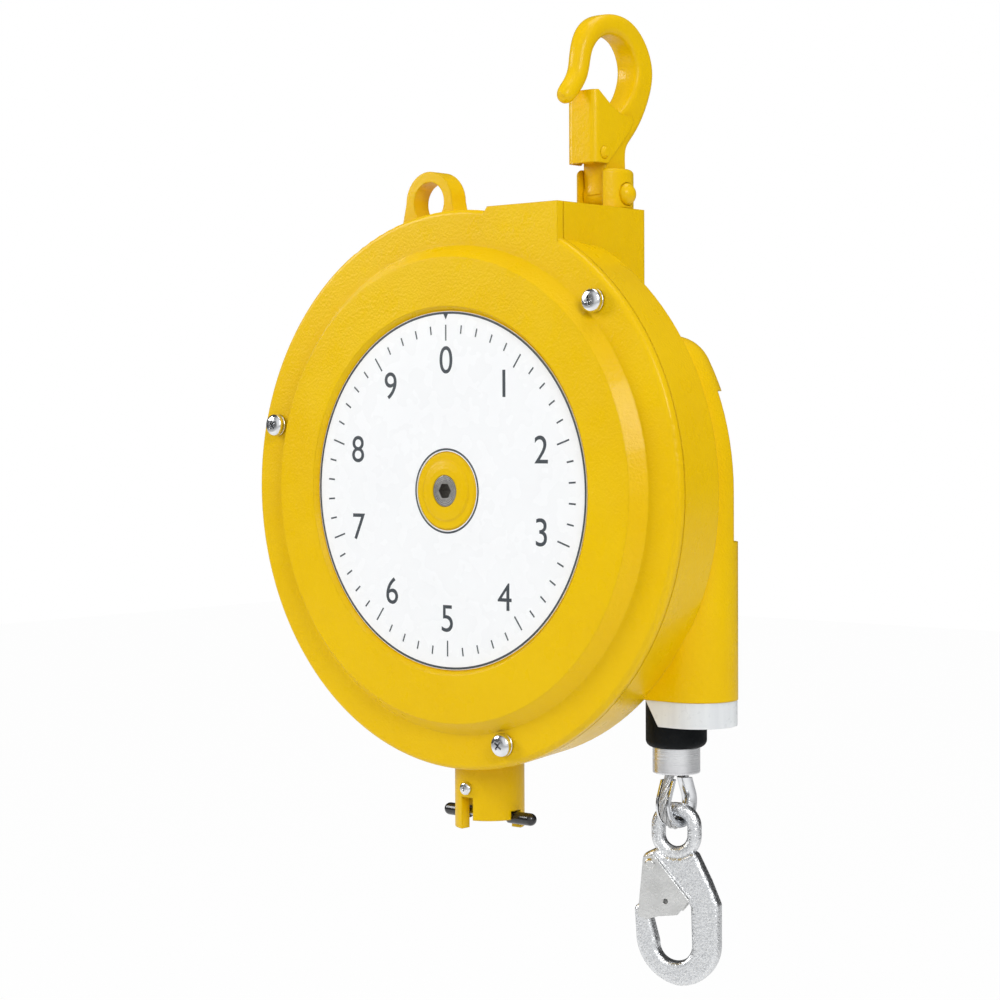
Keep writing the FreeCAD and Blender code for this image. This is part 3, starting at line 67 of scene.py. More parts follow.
# %% [markdown]
# The camera stands to the right of the face plate and a little above the middle, so that the dial and
# the barrel of the case both show. Its axes are worked out from three angles: how far it looks to the
# side, how far down, and how much it leans.

# %% The camera
SENSOR = 36.0
LENS = SENSOR * 2.295
CAMERA_PLACE = (0.58668, -0.74925, -0.16087)
CAMERA_ANGLES = (40.713, 1.813, -0.284)
side_angle, down_angle, lean_angle = (math.radians(angle) for angle in CAMERA_ANGLES)
look = Vector((-math.sin(side_angle) * math.cos(down_angle),
               math.cos(side_angle) * math.cos(down_angle), -math.sin(down_angle)))
level = Vector((math.cos(side_angle), math.sin(side_angle), 0.0))
upright = level.cross(look)
camera_x = level * math.cos(lean_angle) + upright * math.sin(lean_angle)
camera_y = upright * math.cos(lean_angle) - level * math.sin(lean_angle)
camera_data = bpy.data.cameras.new("camera")
camera_data.lens = LENS
camera_data.sensor_width = SENSOR
camera_data.clip_start = 0.05
camera = bpy.data.objects.new("camera", camera_data)
scene.collection.objects.link(camera)
turn = Matrix((camera_x, camera_y, -look)).transposed().to_4x4()
camera.matrix_world = Matrix.Translation(CAMERA_PLACE) @ turn
scene.camera = camera
print("camera at", tuple(round(value, 3) for value in camera.location), "lens", round(LENS, 1), "mm")

# %% [markdown]
# The balancer hangs in front of a plain white surround. The camera sees pure white. The light that
# falls on it comes from a grey sky, brighter above. What shiny parts mirror is bright in front and dim
# at the sides and behind, because metal looks flat when all that it mirrors is one even white.

# %% The surround
scene.view_settings.view_transform = "Standard"
world = bpy.data.worlds.new("surround")
scene.world = world
world.use_nodes = True
sky = world.node_tree
sky.nodes.clear()
UP = (0.0, 0.0, 1.0)
BRIGHT_SIDE = (0.62, -0.75, 0.22)
LIGHT_STOPS = [(0.0, 0.15), (0.42, 0.25), (0.56, 0.38), (0.75, 0.54), (1.0, 0.66)]
GLOSS_STOPS = [(0.0, 0.05), (0.50, 0.06), (0.68, 0.14), (0.84, 0.75), (1.0, 0.95)]
COOL_GREY = (0.985, 0.995, 1.0)


def sky_shades(toward, stops):
    """A grey that changes from the side away from a direction, at 0, to the side toward it, at 1."""
    facing = sky.nodes.new("ShaderNodeVectorMath")
    facing.operation = "DOT_PRODUCT"
    facing.inputs[1].default_value = Vector(toward).normalized()
    rise = sky.nodes.new("ShaderNodeMapRange")
    rise.inputs["From Min"].default_value = -1.0
    ramp = sky.nodes.new("ShaderNodeValToRGB")
    while len(ramp.color_ramp.elements) < len(stops):
        ramp.color_ramp.elements.new(0.5)
    for element, (place, grey) in zip(ramp.color_ramp.elements, stops):
        element.position = place
        element.color = (*(grey * tint for tint in COOL_GREY), 1.0)
    shade = sky.nodes.new("ShaderNodeBackground")
    sky.links.new(sky_direction.outputs["Generated"], facing.inputs[0])
    sky.links.new(facing.outputs["Value"], rise.inputs["Value"])
    sky.links.new(rise.outputs["Result"], ramp.inputs["Fac"])
    sky.links.new(ramp.outputs["Color"], shade.inputs["Color"])
    return shade


sky_direction = sky.nodes.new("ShaderNodeTexCoord")
sky_light = sky_shades(UP, LIGHT_STOPS)
sky_gloss = sky_shades(BRIGHT_SIDE, GLOSS_STOPS)
sky_seen = sky.nodes.new("ShaderNodeBackground")
sky_path = sky.nodes.new("ShaderNodeLightPath")
sky_mirrored = sky.nodes.new("ShaderNodeMath")
sky_mirrored.operation = "MAXIMUM"
sky.links.new(sky_path.outputs["Is Glossy Ray"], sky_mirrored.inputs[0])
sky.links.new(sky_path.outputs["Is Transmission Ray"], sky_mirrored.inputs[1])
sky_mix = sky.nodes.new("ShaderNodeMixShader")
sky_last = sky.nodes.new("ShaderNodeMixShader")
sky_out = sky.nodes.new("ShaderNodeOutputWorld")
sky_seen.inputs["Color"].default_value = (1.0, 1.0, 1.0, 1.0)
sky.links.new(sky_mirrored.outputs[0], sky_mix.inputs[0])
sky.links.new(sky_light.outputs[0], sky_mix.inputs[1])
sky.links.new(sky_gloss.outputs[0], sky_mix.inputs[2])
sky.links.new(sky_path.outputs["Is Camera Ray"], sky_last.inputs[0])
sky.links.new(sky_mix.outputs[0], sky_last.inputs[1])
sky.links.new(sky_seen.outputs[0], sky_last.inputs[2])
sky.links.new(sky_last.outputs[0], sky_out.inputs[0])
print("surround nodes:", len(sky.nodes))

# %% [markdown]
# Three soft lamps stand around it. The key lamp at the upper left gives the pale sheen on the upper
# rim of the case. The right lamp lights the barrel of the case and draws the pale band on the step of
# the cover. The top lamp picks out the upper edges.

# %% The lamps
LAMP_TARGET = Vector((-0.04, -0.02, -0.17))


def soft_lamp(name, place, size, watts):
    """A rectangular studio lamp that faces the balancer."""
    data = bpy.data.lights.new(name, "AREA")
    data.shape = "RECTANGLE"
    data.size, data.size_y = size
    data.energy = watts
    lamp = bpy.data.objects.new(name, data)
    scene.collection.objects.link(lamp)
    lamp.location = place
    lamp.rotation_euler = (LAMP_TARGET - Vector(place)).to_track_quat("-Z", "Y").to_euler()


soft_lamp("key_lamp", (-1.22, -0.86, 0.40), (0.62, 0.66), 11.0)
soft_lamp("right_lamp", (1.05, -0.62, 0.42), (0.50, 0.60), 8.0)
soft_lamp("top_lamp", (0.05, 0.15, 0.95), (0.9, 0.5), 4.0)
print("lamps:", len(bpy.data.lights))

# %% [markdown]
# Shared surface effects come first, as node groups. Each one turns a place on the piece into a value
# from 0 to 1, and a material uses it for height, roughness or colour with sizes of its own. The first
# is a soft cloudy speckle: coarse it is the ripple of thick paint, fine it is cast grain.

# %% Effect: speckle
def new_group(name, inputs, outputs):
    """An empty node group with named sockets, its input node and its output node."""
    group = bpy.data.node_groups.new(name, "ShaderNodeTree")
    for title, kind, value in inputs:
        socket = group.interface.new_socket(title, in_out="INPUT", socket_type=kind)
        if value is not None:
            socket.default_value = value
    for title, kind in outputs:
        group.interface.new_socket(title, in_out="OUTPUT", socket_type=kind)
    return group, group.nodes.new("NodeGroupInput"), group.nodes.new("NodeGroupOutput")


def speckle_group():
    """Soft cloudy speckle of one size, from 0 to 1, stretched by a vector."""
    group, start, end = new_group(
        "speckle",
        [("Vector", "NodeSocketVector", None), ("Size", "NodeSocketFloat", 0.001),
         ("Stretch", "NodeSocketVector", (1.0, 1.0, 1.0)), ("Detail", "NodeSocketFloat", 2.0),
         ("Low", "NodeSocketFloat", 0.3), ("High", "NodeSocketFloat", 0.7)],
        [("Value", "NodeSocketFloat")])
    stretch = group.nodes.new("ShaderNodeVectorMath")
    stretch.operation = "MULTIPLY"
    shrink = group.nodes.new("ShaderNodeMath")
    shrink.operation = "DIVIDE"
    shrink.inputs[0].default_value = 1.0
    noise = group.nodes.new("ShaderNodeTexNoise")
    ramp = group.nodes.new("ShaderNodeMapRange")
    link = group.links.new
    link(start.outputs["Vector"], stretch.inputs[0])
    link(start.outputs["Stretch"], stretch.inputs[1])
    link(start.outputs["Size"], shrink.inputs[1])
    link(stretch.outputs[0], noise.inputs["Vector"])
    link(shrink.outputs[0], noise.inputs["Scale"])
    link(start.outputs["Detail"], noise.inputs["Detail"])
    link(noise.outputs["Fac"], ramp.inputs["Value"])
    link(start.outputs["Low"], ramp.inputs["From Min"])
    link(start.outputs["High"], ramp.inputs["From Max"])
    link(ramp.outputs["Result"], end.inputs["Value"])
    return group


speckle = speckle_group()
print("effect:", speckle.name, len(speckle.nodes), "nodes")

# %% [markdown]
# The second effect is the fine rings that a lathe tool leaves on a face. The distance from the axis
# of turning drives a noise of one dimension, so that the rings differ in width, as real ones do.

# %% Effect: lathe rings
def lathe_rings_group():
    """Uneven rings round an axis that points along Y, from 0 to 1."""
    group, start, end = new_group(
        "lathe_rings",
        [("Vector", "NodeSocketVector", None), ("Centre", "NodeSocketVector", (0.0, 0.0, 0.0)),
         ("Spacing", "NodeSocketFloat", 0.0003)],
        [("Value", "NodeSocketFloat")])
    away = group.nodes.new("ShaderNodeVectorMath")
    away.operation = "SUBTRACT"
    flat = group.nodes.new("ShaderNodeVectorMath")
    flat.operation = "MULTIPLY"
    flat.inputs[1].default_value = (1.0, 0.0, 1.0)
    distance = group.nodes.new("ShaderNodeVectorMath")
    distance.operation = "LENGTH"
    shrink = group.nodes.new("ShaderNodeMath")
    shrink.operation = "DIVIDE"
    noise = group.nodes.new("ShaderNodeTexNoise")
    noise.noise_dimensions = "1D"
    noise.inputs["Scale"].default_value = 1.0
    link = group.links.new
    link(start.outputs["Vector"], away.inputs[0])
    link(start.outputs["Centre"], away.inputs[1])
    link(away.outputs[0], flat.inputs[0])
    link(flat.outputs[0], distance.inputs[0])
    link(distance.outputs["Value"], shrink.inputs[0])
    link(start.outputs["Spacing"], shrink.inputs[1])
    link(shrink.outputs[0], noise.inputs["W"])
    link(noise.outputs["Fac"], end.inputs["Value"])
    return group


lathe_rings = lathe_rings_group()
print("effect:", lathe_rings.name, len(lathe_rings.nodes), "nodes")

# %% [markdown]
# One small class holds a material while it is put together. A maker of finishes thinks in layers: a
# colour that drifts a little, a roughness that wanders, and a height made of one or two grains. Edges
# on real parts are never knife sharp, so the height starts from a normal that a Bevel node has
# rounded, and that catches the thin line of light along each edge.

# %% Material helper: colour and roughness
class Finish:
    """A material built up in layers over a Principled shader."""

    def __init__(self, name, edge=0.0003, **sockets):
        self.material = bpy.data.materials.new(name)
        self.material.use_nodes = True
        self.tree = self.material.node_tree
        self.shader = self.tree.nodes["Principled BSDF"]
        for title, value in sockets.items():
            self.shader.inputs[title.replace("_", " ")].default_value = value
        self.place = self.tree.nodes.new("ShaderNodeTexCoord").outputs["Object"]
        self.normal = None
        if edge:
            soft = self.tree.nodes.new("ShaderNodeBevel")
            soft.samples = 6
            soft.inputs["Radius"].default_value = edge
            self.normal = soft.outputs["Normal"]
            self.tree.links.new(self.normal, self.shader.inputs["Normal"])

    def speckled(self, size, detail=2.0, stretch=(1.0, 1.0, 1.0), low=0.3, high=0.7):
        """The output of a speckle of this size."""
        node = self.tree.nodes.new("ShaderNodeGroup")
        node.node_tree = speckle
        for title, value in (("Size", size), ("Detail", detail), ("Stretch", stretch),
                             ("Low", low), ("High", high)):
            node.inputs[title].default_value = value
        self.tree.links.new(self.place, node.inputs["Vector"])
        return node.outputs["Value"]

    def colour(self, first, second, mask):
        """The base colour drifts between two colours by a mask."""
        drift = self.tree.nodes.new("ShaderNodeMix")
        drift.data_type = "RGBA"
        drift.inputs["A"].default_value = (*first, 1.0)
        drift.inputs["B"].default_value = (*second, 1.0)
        self.tree.links.new(mask, drift.inputs["Factor"])
        self.tree.links.new(drift.outputs["Result"], self.shader.inputs["Base Color"])

    def rough(self, least, most, mask):
        """The roughness wanders between two values by a mask."""
        wander = self.tree.nodes.new("ShaderNodeMapRange")
        wander.inputs["To Min"].default_value = least
        wander.inputs["To Max"].default_value = most
        self.tree.links.new(mask, wander.inputs["Value"])
        self.tree.links.new(wander.outputs["Result"], self.shader.inputs["Roughness"])

    def grain(self, mask, depth):
        """One more layer of height on top of the ones before."""
        bump = self.tree.nodes.new("ShaderNodeBump")
        bump.inputs["Strength"].default_value = 1.0
        bump.inputs["Distance"].default_value = depth
        self.tree.links.new(mask, bump.inputs["Height"])
        if self.normal:
            self.tree.links.new(self.normal, bump.inputs["Normal"])
        self.normal = bump.outputs["Normal"]
        self.tree.links.new(self.normal, self.shader.inputs["Normal"])


print("finish helper ready")

# %% [markdown]
# The case, cover, hook and yoke are painted the same warm yellow. The paint is thick and glossy over
# a cast or forged skin. Two grains make it: a ripple about a millimetre wide, called orange peel, and
# a slower wave under it. The clear coat gives a sharper reflection over the softer one.

# %% Yellow paint
YELLOW = (0.820, 0.525, 0.0)
WARM_YELLOW = (0.790, 0.490, 0.0)


def yellow_paint(name, edge, peel_size, peel_depth, wave_depth):
    """Thick gloss paint with an orange peel of this size and depth."""
    paint = Finish(name, edge=edge, Coat_Weight=0.12, Coat_Roughness=0.08,
                   Specular_IOR_Level=0.14)
    paint.colour(YELLOW, WARM_YELLOW, paint.speckled(0.035, 3.0))
    paint.rough(0.24, 0.36, paint.speckled(0.012, 4.0))
    paint.grain(paint.speckled(0.006, 1.0), wave_depth)
    paint.grain(paint.speckled(peel_size, 2.0), peel_depth)
    return paint.material


case_paint = yellow_paint("case_yellow", 0.0009, 0.0011, 0.00007, 0.00003)
hook_paint = yellow_paint("hook_yellow", 0.0006, 0.0013, 0.00006, 0.00006)
print("paint ready")

# %% [markdown]
# Bare metals differ more by their skin than by their colour. Zinc plate on a screw is bright and
# even. A forging keeps a pebbled grain under its zinc. Turned aluminium has fine rings round it,
# which is a speckle squeezed flat along the axis.

# %% Zinc and steel
def bare_metal(name, first, second, least, most, size, depth, edge=0.0002, stretch=(1.0, 1.0, 1.0)):
    """Metal with one grain that also wanders in colour and in roughness."""
    metal = Finish(name, edge=edge, Metallic=1.0)
    metal.colour(first, second, metal.speckled(size * 6, 3.0, stretch))
    metal.rough(least, most, metal.speckled(size * 3, 3.0, stretch))
    metal.grain(metal.speckled(size, 3.0, stretch), depth)
    return metal.material


bright_zinc = bare_metal("bright_zinc", (0.82, 0.83, 0.85), (0.70, 0.71, 0.73), 0.10, 0.22, 0.0009,
                         0.000012)
gate_steel = bare_metal("gate_steel", (0.80, 0.80, 0.79), (0.66, 0.66, 0.65), 0.20, 0.34, 0.0011, 0.00003)
turned_steel = bare_metal("turned_steel", (0.56, 0.57, 0.58), (0.46, 0.46, 0.47), 0.25, 0.40, 0.0006,
                          0.00001)
rope_steel = bare_metal("rope_steel", (0.66, 0.66, 0.66), (0.50, 0.50, 0.50), 0.24, 0.38, 0.0006, 0.00001,
                        edge=0.0)
spring_blue = bare_metal("spring_blue", (0.16, 0.17, 0.20), (0.10, 0.10, 0.12), 0.30, 0.45, 0.001, 0.00001)
bush_bronze = bare_metal("bush_bronze", (0.74, 0.50, 0.20), (0.60, 0.38, 0.14), 0.25, 0.40, 0.0005, 0.00001)
cast_aluminium = bare_metal("cast_aluminium", (0.62, 0.63, 0.64), (0.50, 0.51, 0.52), 0.40, 0.55, 0.0012,
                            0.00006)
turned_aluminium = bare_metal("turned_aluminium", (0.86, 0.86, 0.87), (0.72, 0.72, 0.74), 0.20, 0.36,
                              0.0004, 0.00002, stretch=(0.02, 0.02, 1.0))
print("metals ready")

# %% Forged zinc
forged = Finish("forged_zinc", edge=0.0003, Metallic=1.0)
forged.colour((0.80, 0.81, 0.82), (0.62, 0.63, 0.65), forged.speckled(0.0007, 4.0, low=0.42, high=0.66))
forged.rough(0.20, 0.34, forged.speckled(0.0008, 4.0))
forged.grain(forged.speckled(0.0022, 2.0), 0.00012)
forged.grain(forged.speckled(0.0008, 3.0), 0.00010)
forged_zinc = forged.material
print("forged zinc ready")

# %% [markdown]
# The end of the centre shaft shows the rings of the lathe, and so do the cut faces round its key
# socket. The rings go round the axis of the case, which the face plate gives.

# %% Lathe-turned shaft
plate_low, plate_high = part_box("face_plate")
AXIS = Vector(((plate_low.x + plate_high.x) / 2, plate_low.y, (plate_low.z + plate_high.z) / 2))
PLATE_RADIUS = (plate_high.x - plate_low.x) / 2
shaft = Finish("lathe_steel", edge=0.0002, Metallic=1.0)
rings = shaft.tree.nodes.new("ShaderNodeGroup")
rings.node_tree = lathe_rings
rings.inputs["Centre"].default_value = AXIS
rings.inputs["Spacing"].default_value = 0.00035
shaft.tree.links.new(shaft.place, rings.inputs["Vector"])
shaft.colour((0.62, 0.60, 0.57), (0.42, 0.41, 0.40), shaft.speckled(0.0012, 4.0))
shaft.rough(0.20, 0.38, rings.outputs["Value"])
shaft.grain(rings.outputs["Value"], 0.00003)
shaft_steel = shaft.material
print("axis at", tuple(round(value, 4) for value in AXIS), "plate radius", round(PLATE_RADIUS, 4))

# %% [markdown]
# The other materials are not metal. The guide that the cable comes out of is a milky plastic that
# lets some light in. The bumper is matt moulded rubber. The caps on the lock bar are dipped vinyl,
# which is shiny. The face plate is a white coated sheet.

# %% Plastic, rubber, vinyl and the face plate
guide = Finish("guide_plastic", edge=0.0003, Subsurface_Weight=0.35, Subsurface_Scale=0.004)
guide.shader.inputs["Subsurface Radius"].default_value = (1.0, 1.0, 1.0)
guide.colour((0.80, 0.82, 0.83), (0.72, 0.74, 0.76), guide.speckled(0.004, 2.0, (1.0, 1.0, 0.08)))
guide.rough(0.26, 0.38, guide.speckled(0.003))
guide.grain(guide.speckled(0.0012, 2.0, (1.0, 1.0, 0.05)), 0.00002)
guide_plastic = guide.material

rubber = Finish("bumper_rubber", edge=0.0004, Specular_IOR_Level=0.10)
rubber.colour((0.004, 0.005, 0.006), (0.007, 0.008, 0.009), rubber.speckled(0.008))
rubber.rough(0.48, 0.64, rubber.speckled(0.003, 3.0))
rubber.grain(rubber.speckled(0.0006, 3.0), 0.00004)
bumper_rubber = rubber.material

vinyl = Finish("cap_vinyl", edge=0.0, Coat_Weight=0.4, Coat_Roughness=0.08)
vinyl.colour((0.007, 0.007, 0.009), (0.012, 0.012, 0.014), vinyl.speckled(0.003))
vinyl.rough(0.16, 0.28, vinyl.speckled(0.003))
vinyl.grain(vinyl.speckled(0.003, 1.0), 0.00003)
cap_vinyl = vinyl.material

label = Finish("plate_white", edge=0.0001, Coat_Weight=0.1, Coat_Roughness=0.08,
               Specular_IOR_Level=0.3)
label.colour((0.930, 0.937, 0.945), (0.915, 0.923, 0.932), label.speckled(0.03, 3.0))
label.rough(0.22, 0.32, label.speckled(0.01))
label.grain(label.speckled(0.005, 1.0), 0.000006)
plate_white = label.material

print_ink = Finish("dial_ink", edge=0.0)
print_ink.colour((0.040, 0.050, 0.060), (0.052, 0.062, 0.072), print_ink.speckled(0.002))
print_ink.rough(0.35, 0.5, print_ink.speckled(0.001))
dial_ink = print_ink.material
print("materials:", len(bpy.data.materials))

# %% Materials on the CAD pieces
node_finishes = {
    case_paint: ["rear_case", "front_cover"],
    hook_paint: ["hook_yoke", "yoke_pin", "top_hook", "hook_latch", "latch_rivet"],
    plate_white: ["face_plate"],
    bright_zinc: ["cover_screws", "cover_screw_washers", "shaft_washer", "shaft_nut", "thimble",
                  "lock_screw"],
    gate_steel: ["snap_gate", "gate_rivet"],
    forged_zinc: ["snap_hook"],
    shaft_steel: ["center_shaft"],
    turned_steel: ["spring_arbor", "lock_plunger", "lock_plug", "lock_crossbar", "swivel_nut",
                   "swivel_washer"],
    rope_steel: ["cable_on_drum", "cable_run", "cable_loop"],
    turned_aluminium: ["cable_ferrule"],
    cast_aluminium: ["drum", "drum_lid"],
    bush_bronze: ["front_bush", "rear_bush", "drum_bush"],
    spring_blue: ["power_spring", "lock_spring", "latch_spring", "gate_spring"],
    guide_plastic: ["cable_guide"],
    bumper_rubber: ["bumper"],
    cap_vinyl: ["lock_bar_caps"],
}
painted = 0
for material, names in node_finishes.items():
    for name in names:
        piece = nodes[name]
        piece.data.materials.clear()
        piece.data.materials.append(material)
        painted += 1
print("CAD pieces with a finish:", painted, "of", len(nodes))

# %% [markdown]
# Screws, ticks and rope strands repeat, so Geometry Nodes place them. A tree is built once with named
# inputs. A helper runs it on an empty object, keeps what comes out as a plain mesh and throws the
# object away, so that nothing live is left behind.

# %% Geometry Nodes helpers
def new_tree(name, inputs):
    """An empty Geometry Nodes tree with named inputs, its input node and its output node."""
    tree = bpy.data.node_groups.new(name, "GeometryNodeTree")
    for title, kind, value in inputs:
        socket = tree.interface.new_socket(title, in_out="INPUT", socket_type="NodeSocket" + kind)
        if value is not None:
            socket.default_value = value
    tree.interface.new_socket("Geometry", in_out="OUTPUT", socket_type="NodeSocketGeometry")
    return tree, tree.nodes.new("NodeGroupInput"), tree.nodes.new("NodeGroupOutput")


def plain_mesh(source, name):
    """The evaluated mesh of an object."""
    graph = bpy.context.evaluated_depsgraph_get()
    mesh = bpy.data.meshes.new_from_object(source.evaluated_get(graph), depsgraph=graph)
    mesh.name = name
    return mesh


def place_piece(name, mesh):
    """An object at the origin that shows this mesh."""
    piece = bpy.data.objects.new(name, mesh)
    scene.collection.objects.link(piece)
    return piece


def grow(name, tree, values):
    """Runs a tree with these values and keeps the result as a plain mesh."""
    host = place_piece(name + "_host", bpy.data.meshes.new(name + "_host"))
    maker = host.modifiers.new("maker", "NODES")
    maker.node_group = tree
    for socket in tree.interface.items_tree:
        if socket.in_out == "INPUT" and socket.name in values:
            maker[socket.identifier] = values[socket.name]
    mesh = plain_mesh(host, name)
    bpy.data.objects.remove(host)
    return mesh


def math_node(tree, operation, first, second=None):
    """A Math node whose inputs are links or numbers."""
    node = tree.nodes.new("ShaderNodeMath")
    node.operation = operation
    for socket, value in zip(node.inputs, (first, second)):
        if hasattr(value, "node"):
            tree.links.new(value, socket)
        elif value is not None:
            socket.default_value = value
    return node.outputs[0]


print("Geometry Nodes helpers ready")

# %% [markdown]
# The ring tree puts copies of a part round an axis that points along Y. Each copy is turned by an
# angle of its own from a fixed seed, because nobody lines up the slots of screws.

# %% Tree: parts in a ring
def ring_tree():
    """Copies of an object, evenly round a circle in an upright plane."""
    tree, start, end = new_tree("parts_in_a_ring", [
        ("Geometry", "Geometry", None), ("Centre", "Vector", None), ("Radius", "Float", 0.1),
        ("Count", "Int", 3), ("First angle", "Float", 0.0), ("Part", "Object", None),
        ("Seed", "Int", 1), ("Material", "Material", None)])
    link = tree.links.new
    points = tree.nodes.new("GeometryNodePoints")
    index = tree.nodes.new("GeometryNodeInputIndex").outputs[0]
    share = math_node(tree, "DIVIDE", index, start.outputs["Count"])
    angle = math_node(tree, "ADD", math_node(tree, "MULTIPLY", share, math.tau),
                      start.outputs["First angle"])
    spot = tree.nodes.new("ShaderNodeCombineXYZ")
    for wave, side in (("COSINE", "X"), ("SINE", "Z")):
        reach = math_node(tree, "MULTIPLY", math_node(tree, wave, angle), start.outputs["Radius"])
        link(reach, spot.inputs[side])
    put = tree.nodes.new("GeometryNodeSetPosition")
    part = tree.nodes.new("GeometryNodeObjectInfo")
    slack = tree.nodes.new("FunctionNodeRandomValue")
    slack.inputs["Max"].default_value = math.tau
    spin = tree.nodes.new("ShaderNodeCombineXYZ")
    copies = tree.nodes.new("GeometryNodeInstanceOnPoints")
    move = tree.nodes.new("GeometryNodeTransform")
    real = tree.nodes.new("GeometryNodeRealizeInstances")
    coat = tree.nodes.new("GeometryNodeSetMaterial")
    link(start.outputs["Count"], points.inputs["Count"])
    link(points.outputs[0], put.inputs["Geometry"])
    link(spot.outputs[0], put.inputs["Position"])
    link(start.outputs["Part"], part.inputs["Object"])
    link(start.outputs["Seed"], slack.inputs["Seed"])
    link(slack.outputs["Value"], spin.inputs["Y"])
    link(put.outputs[0], copies.inputs["Points"])
    link(part.outputs["Geometry"], copies.inputs["Instance"])
    link(spin.outputs[0], copies.inputs["Rotation"])
    link(copies.outputs[0], move.inputs["Geometry"])
    link(start.outputs["Centre"], move.inputs["Translation"])
    link(move.outputs[0], real.inputs[0])
    link(real.outputs[0], coat.inputs["Geometry"])
    link(start.outputs["Material"], coat.inputs["Material"])
    link(coat.outputs[0], end.inputs[0])
    return tree


parts_in_a_ring = ring_tree()
print("tree:", parts_in_a_ring.name, len(parts_in_a_ring.nodes), "nodes")

# %% [markdown]
# A pan head screw is a turned shape with a cross cut into it. The outline is spun round the axis, and
# two tapered blades are then cut out of the head, as the punch does that forms a real one.

# %% Screw head
def spun(name, outline, steps=48):
    """A closed mesh turned from (radius, rise) pairs; the rise runs towards the viewer, along -Y."""
    mesh = bpy.data.meshes.new(name)
    form = bmesh.new()
    rings = []
    for radius, rise in outline:
        if radius == 0:
            rings.append([form.verts.new((0.0, -rise, 0.0))] * steps)
        else:
            rings.append([form.verts.new((radius * math.cos(math.tau * step / steps), -rise,
                                          radius * math.sin(math.tau * step / steps)))
                          for step in range(steps)])
    for low, high in zip(rings, rings[1:]):
        for step in range(steps):
            after = (step + 1) % steps
            corners = []
            for corner in (low[step], low[after], high[after], high[step]):
                if corner not in corners:
                    corners.append(corner)
            form.faces.new(corners)
    bmesh.ops.recalc_face_normals(form, faces=form.faces)
    form.to_mesh(mesh)
    form.free()
    return mesh


def blade(name, rise, deep, long, short, thick, turn):
    """A tapered blade that cuts one arm of the cross, narrower at the bottom."""
    mesh = bpy.data.meshes.new(name)
    top, bottom = -rise * 1.3, -rise + deep
    spots = []
    for y, half, side in ((top, long, thick), (bottom, short, thick * 0.6)):
        spots += [(-half, y, -side), (half, y, -side), (half, y, side), (-half, y, side)]
    mesh.from_pydata(spots, [], [(0, 1, 2, 3), (7, 6, 5, 4), (0, 4, 5, 1), (1, 5, 6, 2), (2, 6, 7, 3),
                                 (3, 7, 4, 0)])
    form = bmesh.new()
    form.from_mesh(mesh)
    bmesh.ops.recalc_face_normals(form, faces=form.faces)
    form.to_mesh(mesh)
    form.free()
    mesh.transform(Matrix.Rotation(turn, 4, "Y"))
    return place_piece(name, mesh)


def cross_head(name, radius, rise):
    """A pan head with its cross, seat at the origin."""
    edge = radius * 0.18
    outline = [(0.0, 0.0), (radius - edge * 0.3, 0.0), (radius, edge * 0.3), (radius, rise * 0.42)]
    for step in range(1, 7):
        angle = math.radians(90 * step / 7)
        outline.append((radius * (0.48 + 0.52 * math.cos(angle)), rise * (0.42 + 0.55 * math.sin(angle))))
    outline += [(radius * 0.36, rise * 0.985), (0.0, rise)]
    head = place_piece(name, spun(name, outline))
    blades = [blade(name + "_blade", rise, rise * 0.62, radius * 0.56, radius * 0.24, radius * 0.105, turn)
              for turn in (0.0, math.pi / 2)]
    for tool in blades:
        cut = head.modifiers.new("cut", "BOOLEAN")
        cut.solver = "EXACT"
        cut.object = tool
    mesh = plain_mesh(head, name)
    for used in blades + [head]:
        bpy.data.objects.remove(used)
    mesh.shade_smooth()
    mesh.set_sharp_from_angle(angle=math.radians(35))
    return mesh


SCREW_HEAD = (0.00475, 0.0034)
screw_mesh = cross_head("cross_head", *SCREW_HEAD)
print("screw head faces:", len(screw_mesh.polygons))

# %% [markdown]
# Under each head sits a spring washer: one turn of square wire, cut through, with its ends a little
# apart. A spiral curve with a square section follows that rule, so it is a small tree of its own.

# %% Tree: spring washer
def washer_tree():
    """A split washer round the Y axis, seat at the origin."""
    tree, start, end = new_tree("spring_washer", [
        ("Geometry", "Geometry", None), ("Radius", "Float", 0.0038), ("Width", "Float", 0.0018),
        ("Thick", "Float", 0.001), ("Lift", "Float", 0.0003), ("Material", "Material", None)])
    link = tree.links.new
    turn = tree.nodes.new("GeometryNodeCurveSpiral")
    turn.inputs["Resolution"].default_value = 64
    turn.inputs["Rotations"].default_value = 0.95
    section = tree.nodes.new("GeometryNodeCurvePrimitiveQuadrilateral")
    wire = tree.nodes.new("GeometryNodeCurveToMesh")
    wire.inputs["Fill Caps"].default_value = True
    lay = tree.nodes.new("GeometryNodeTransform")
    lay.inputs["Rotation"].default_value = (math.pi / 2, 0.0, 0.0)
    real = tree.nodes.new("GeometryNodeRealizeInstances")
    coat = tree.nodes.new("GeometryNodeSetMaterial")
    for title, socket in (("Radius", "Start Radius"), ("Radius", "End Radius"), ("Lift", "Height")):
        link(start.outputs[title], turn.inputs[socket])
    link(start.outputs["Width"], section.inputs["Width"])
    link(start.outputs["Thick"], section.inputs["Height"])
    link(turn.outputs[0], wire.inputs["Curve"])
    link(section.outputs[0], wire.inputs["Profile Curve"])
    link(wire.outputs[0], lay.inputs["Geometry"])
    link(lay.outputs[0], real.inputs[0])
    link(real.outputs[0], coat.inputs["Geometry"])
    link(start.outputs["Material"], coat.inputs["Material"])
    link(coat.outputs[0], end.inputs[0])
    return tree


washer_mesh = grow("split_washer", washer_tree(), {"Material": bright_zinc})
print("washer faces:", len(washer_mesh.polygons), "size",
      [round(max(v.co[i] for v in washer_mesh.vertices) * 1000, 2) for i in range(3)])

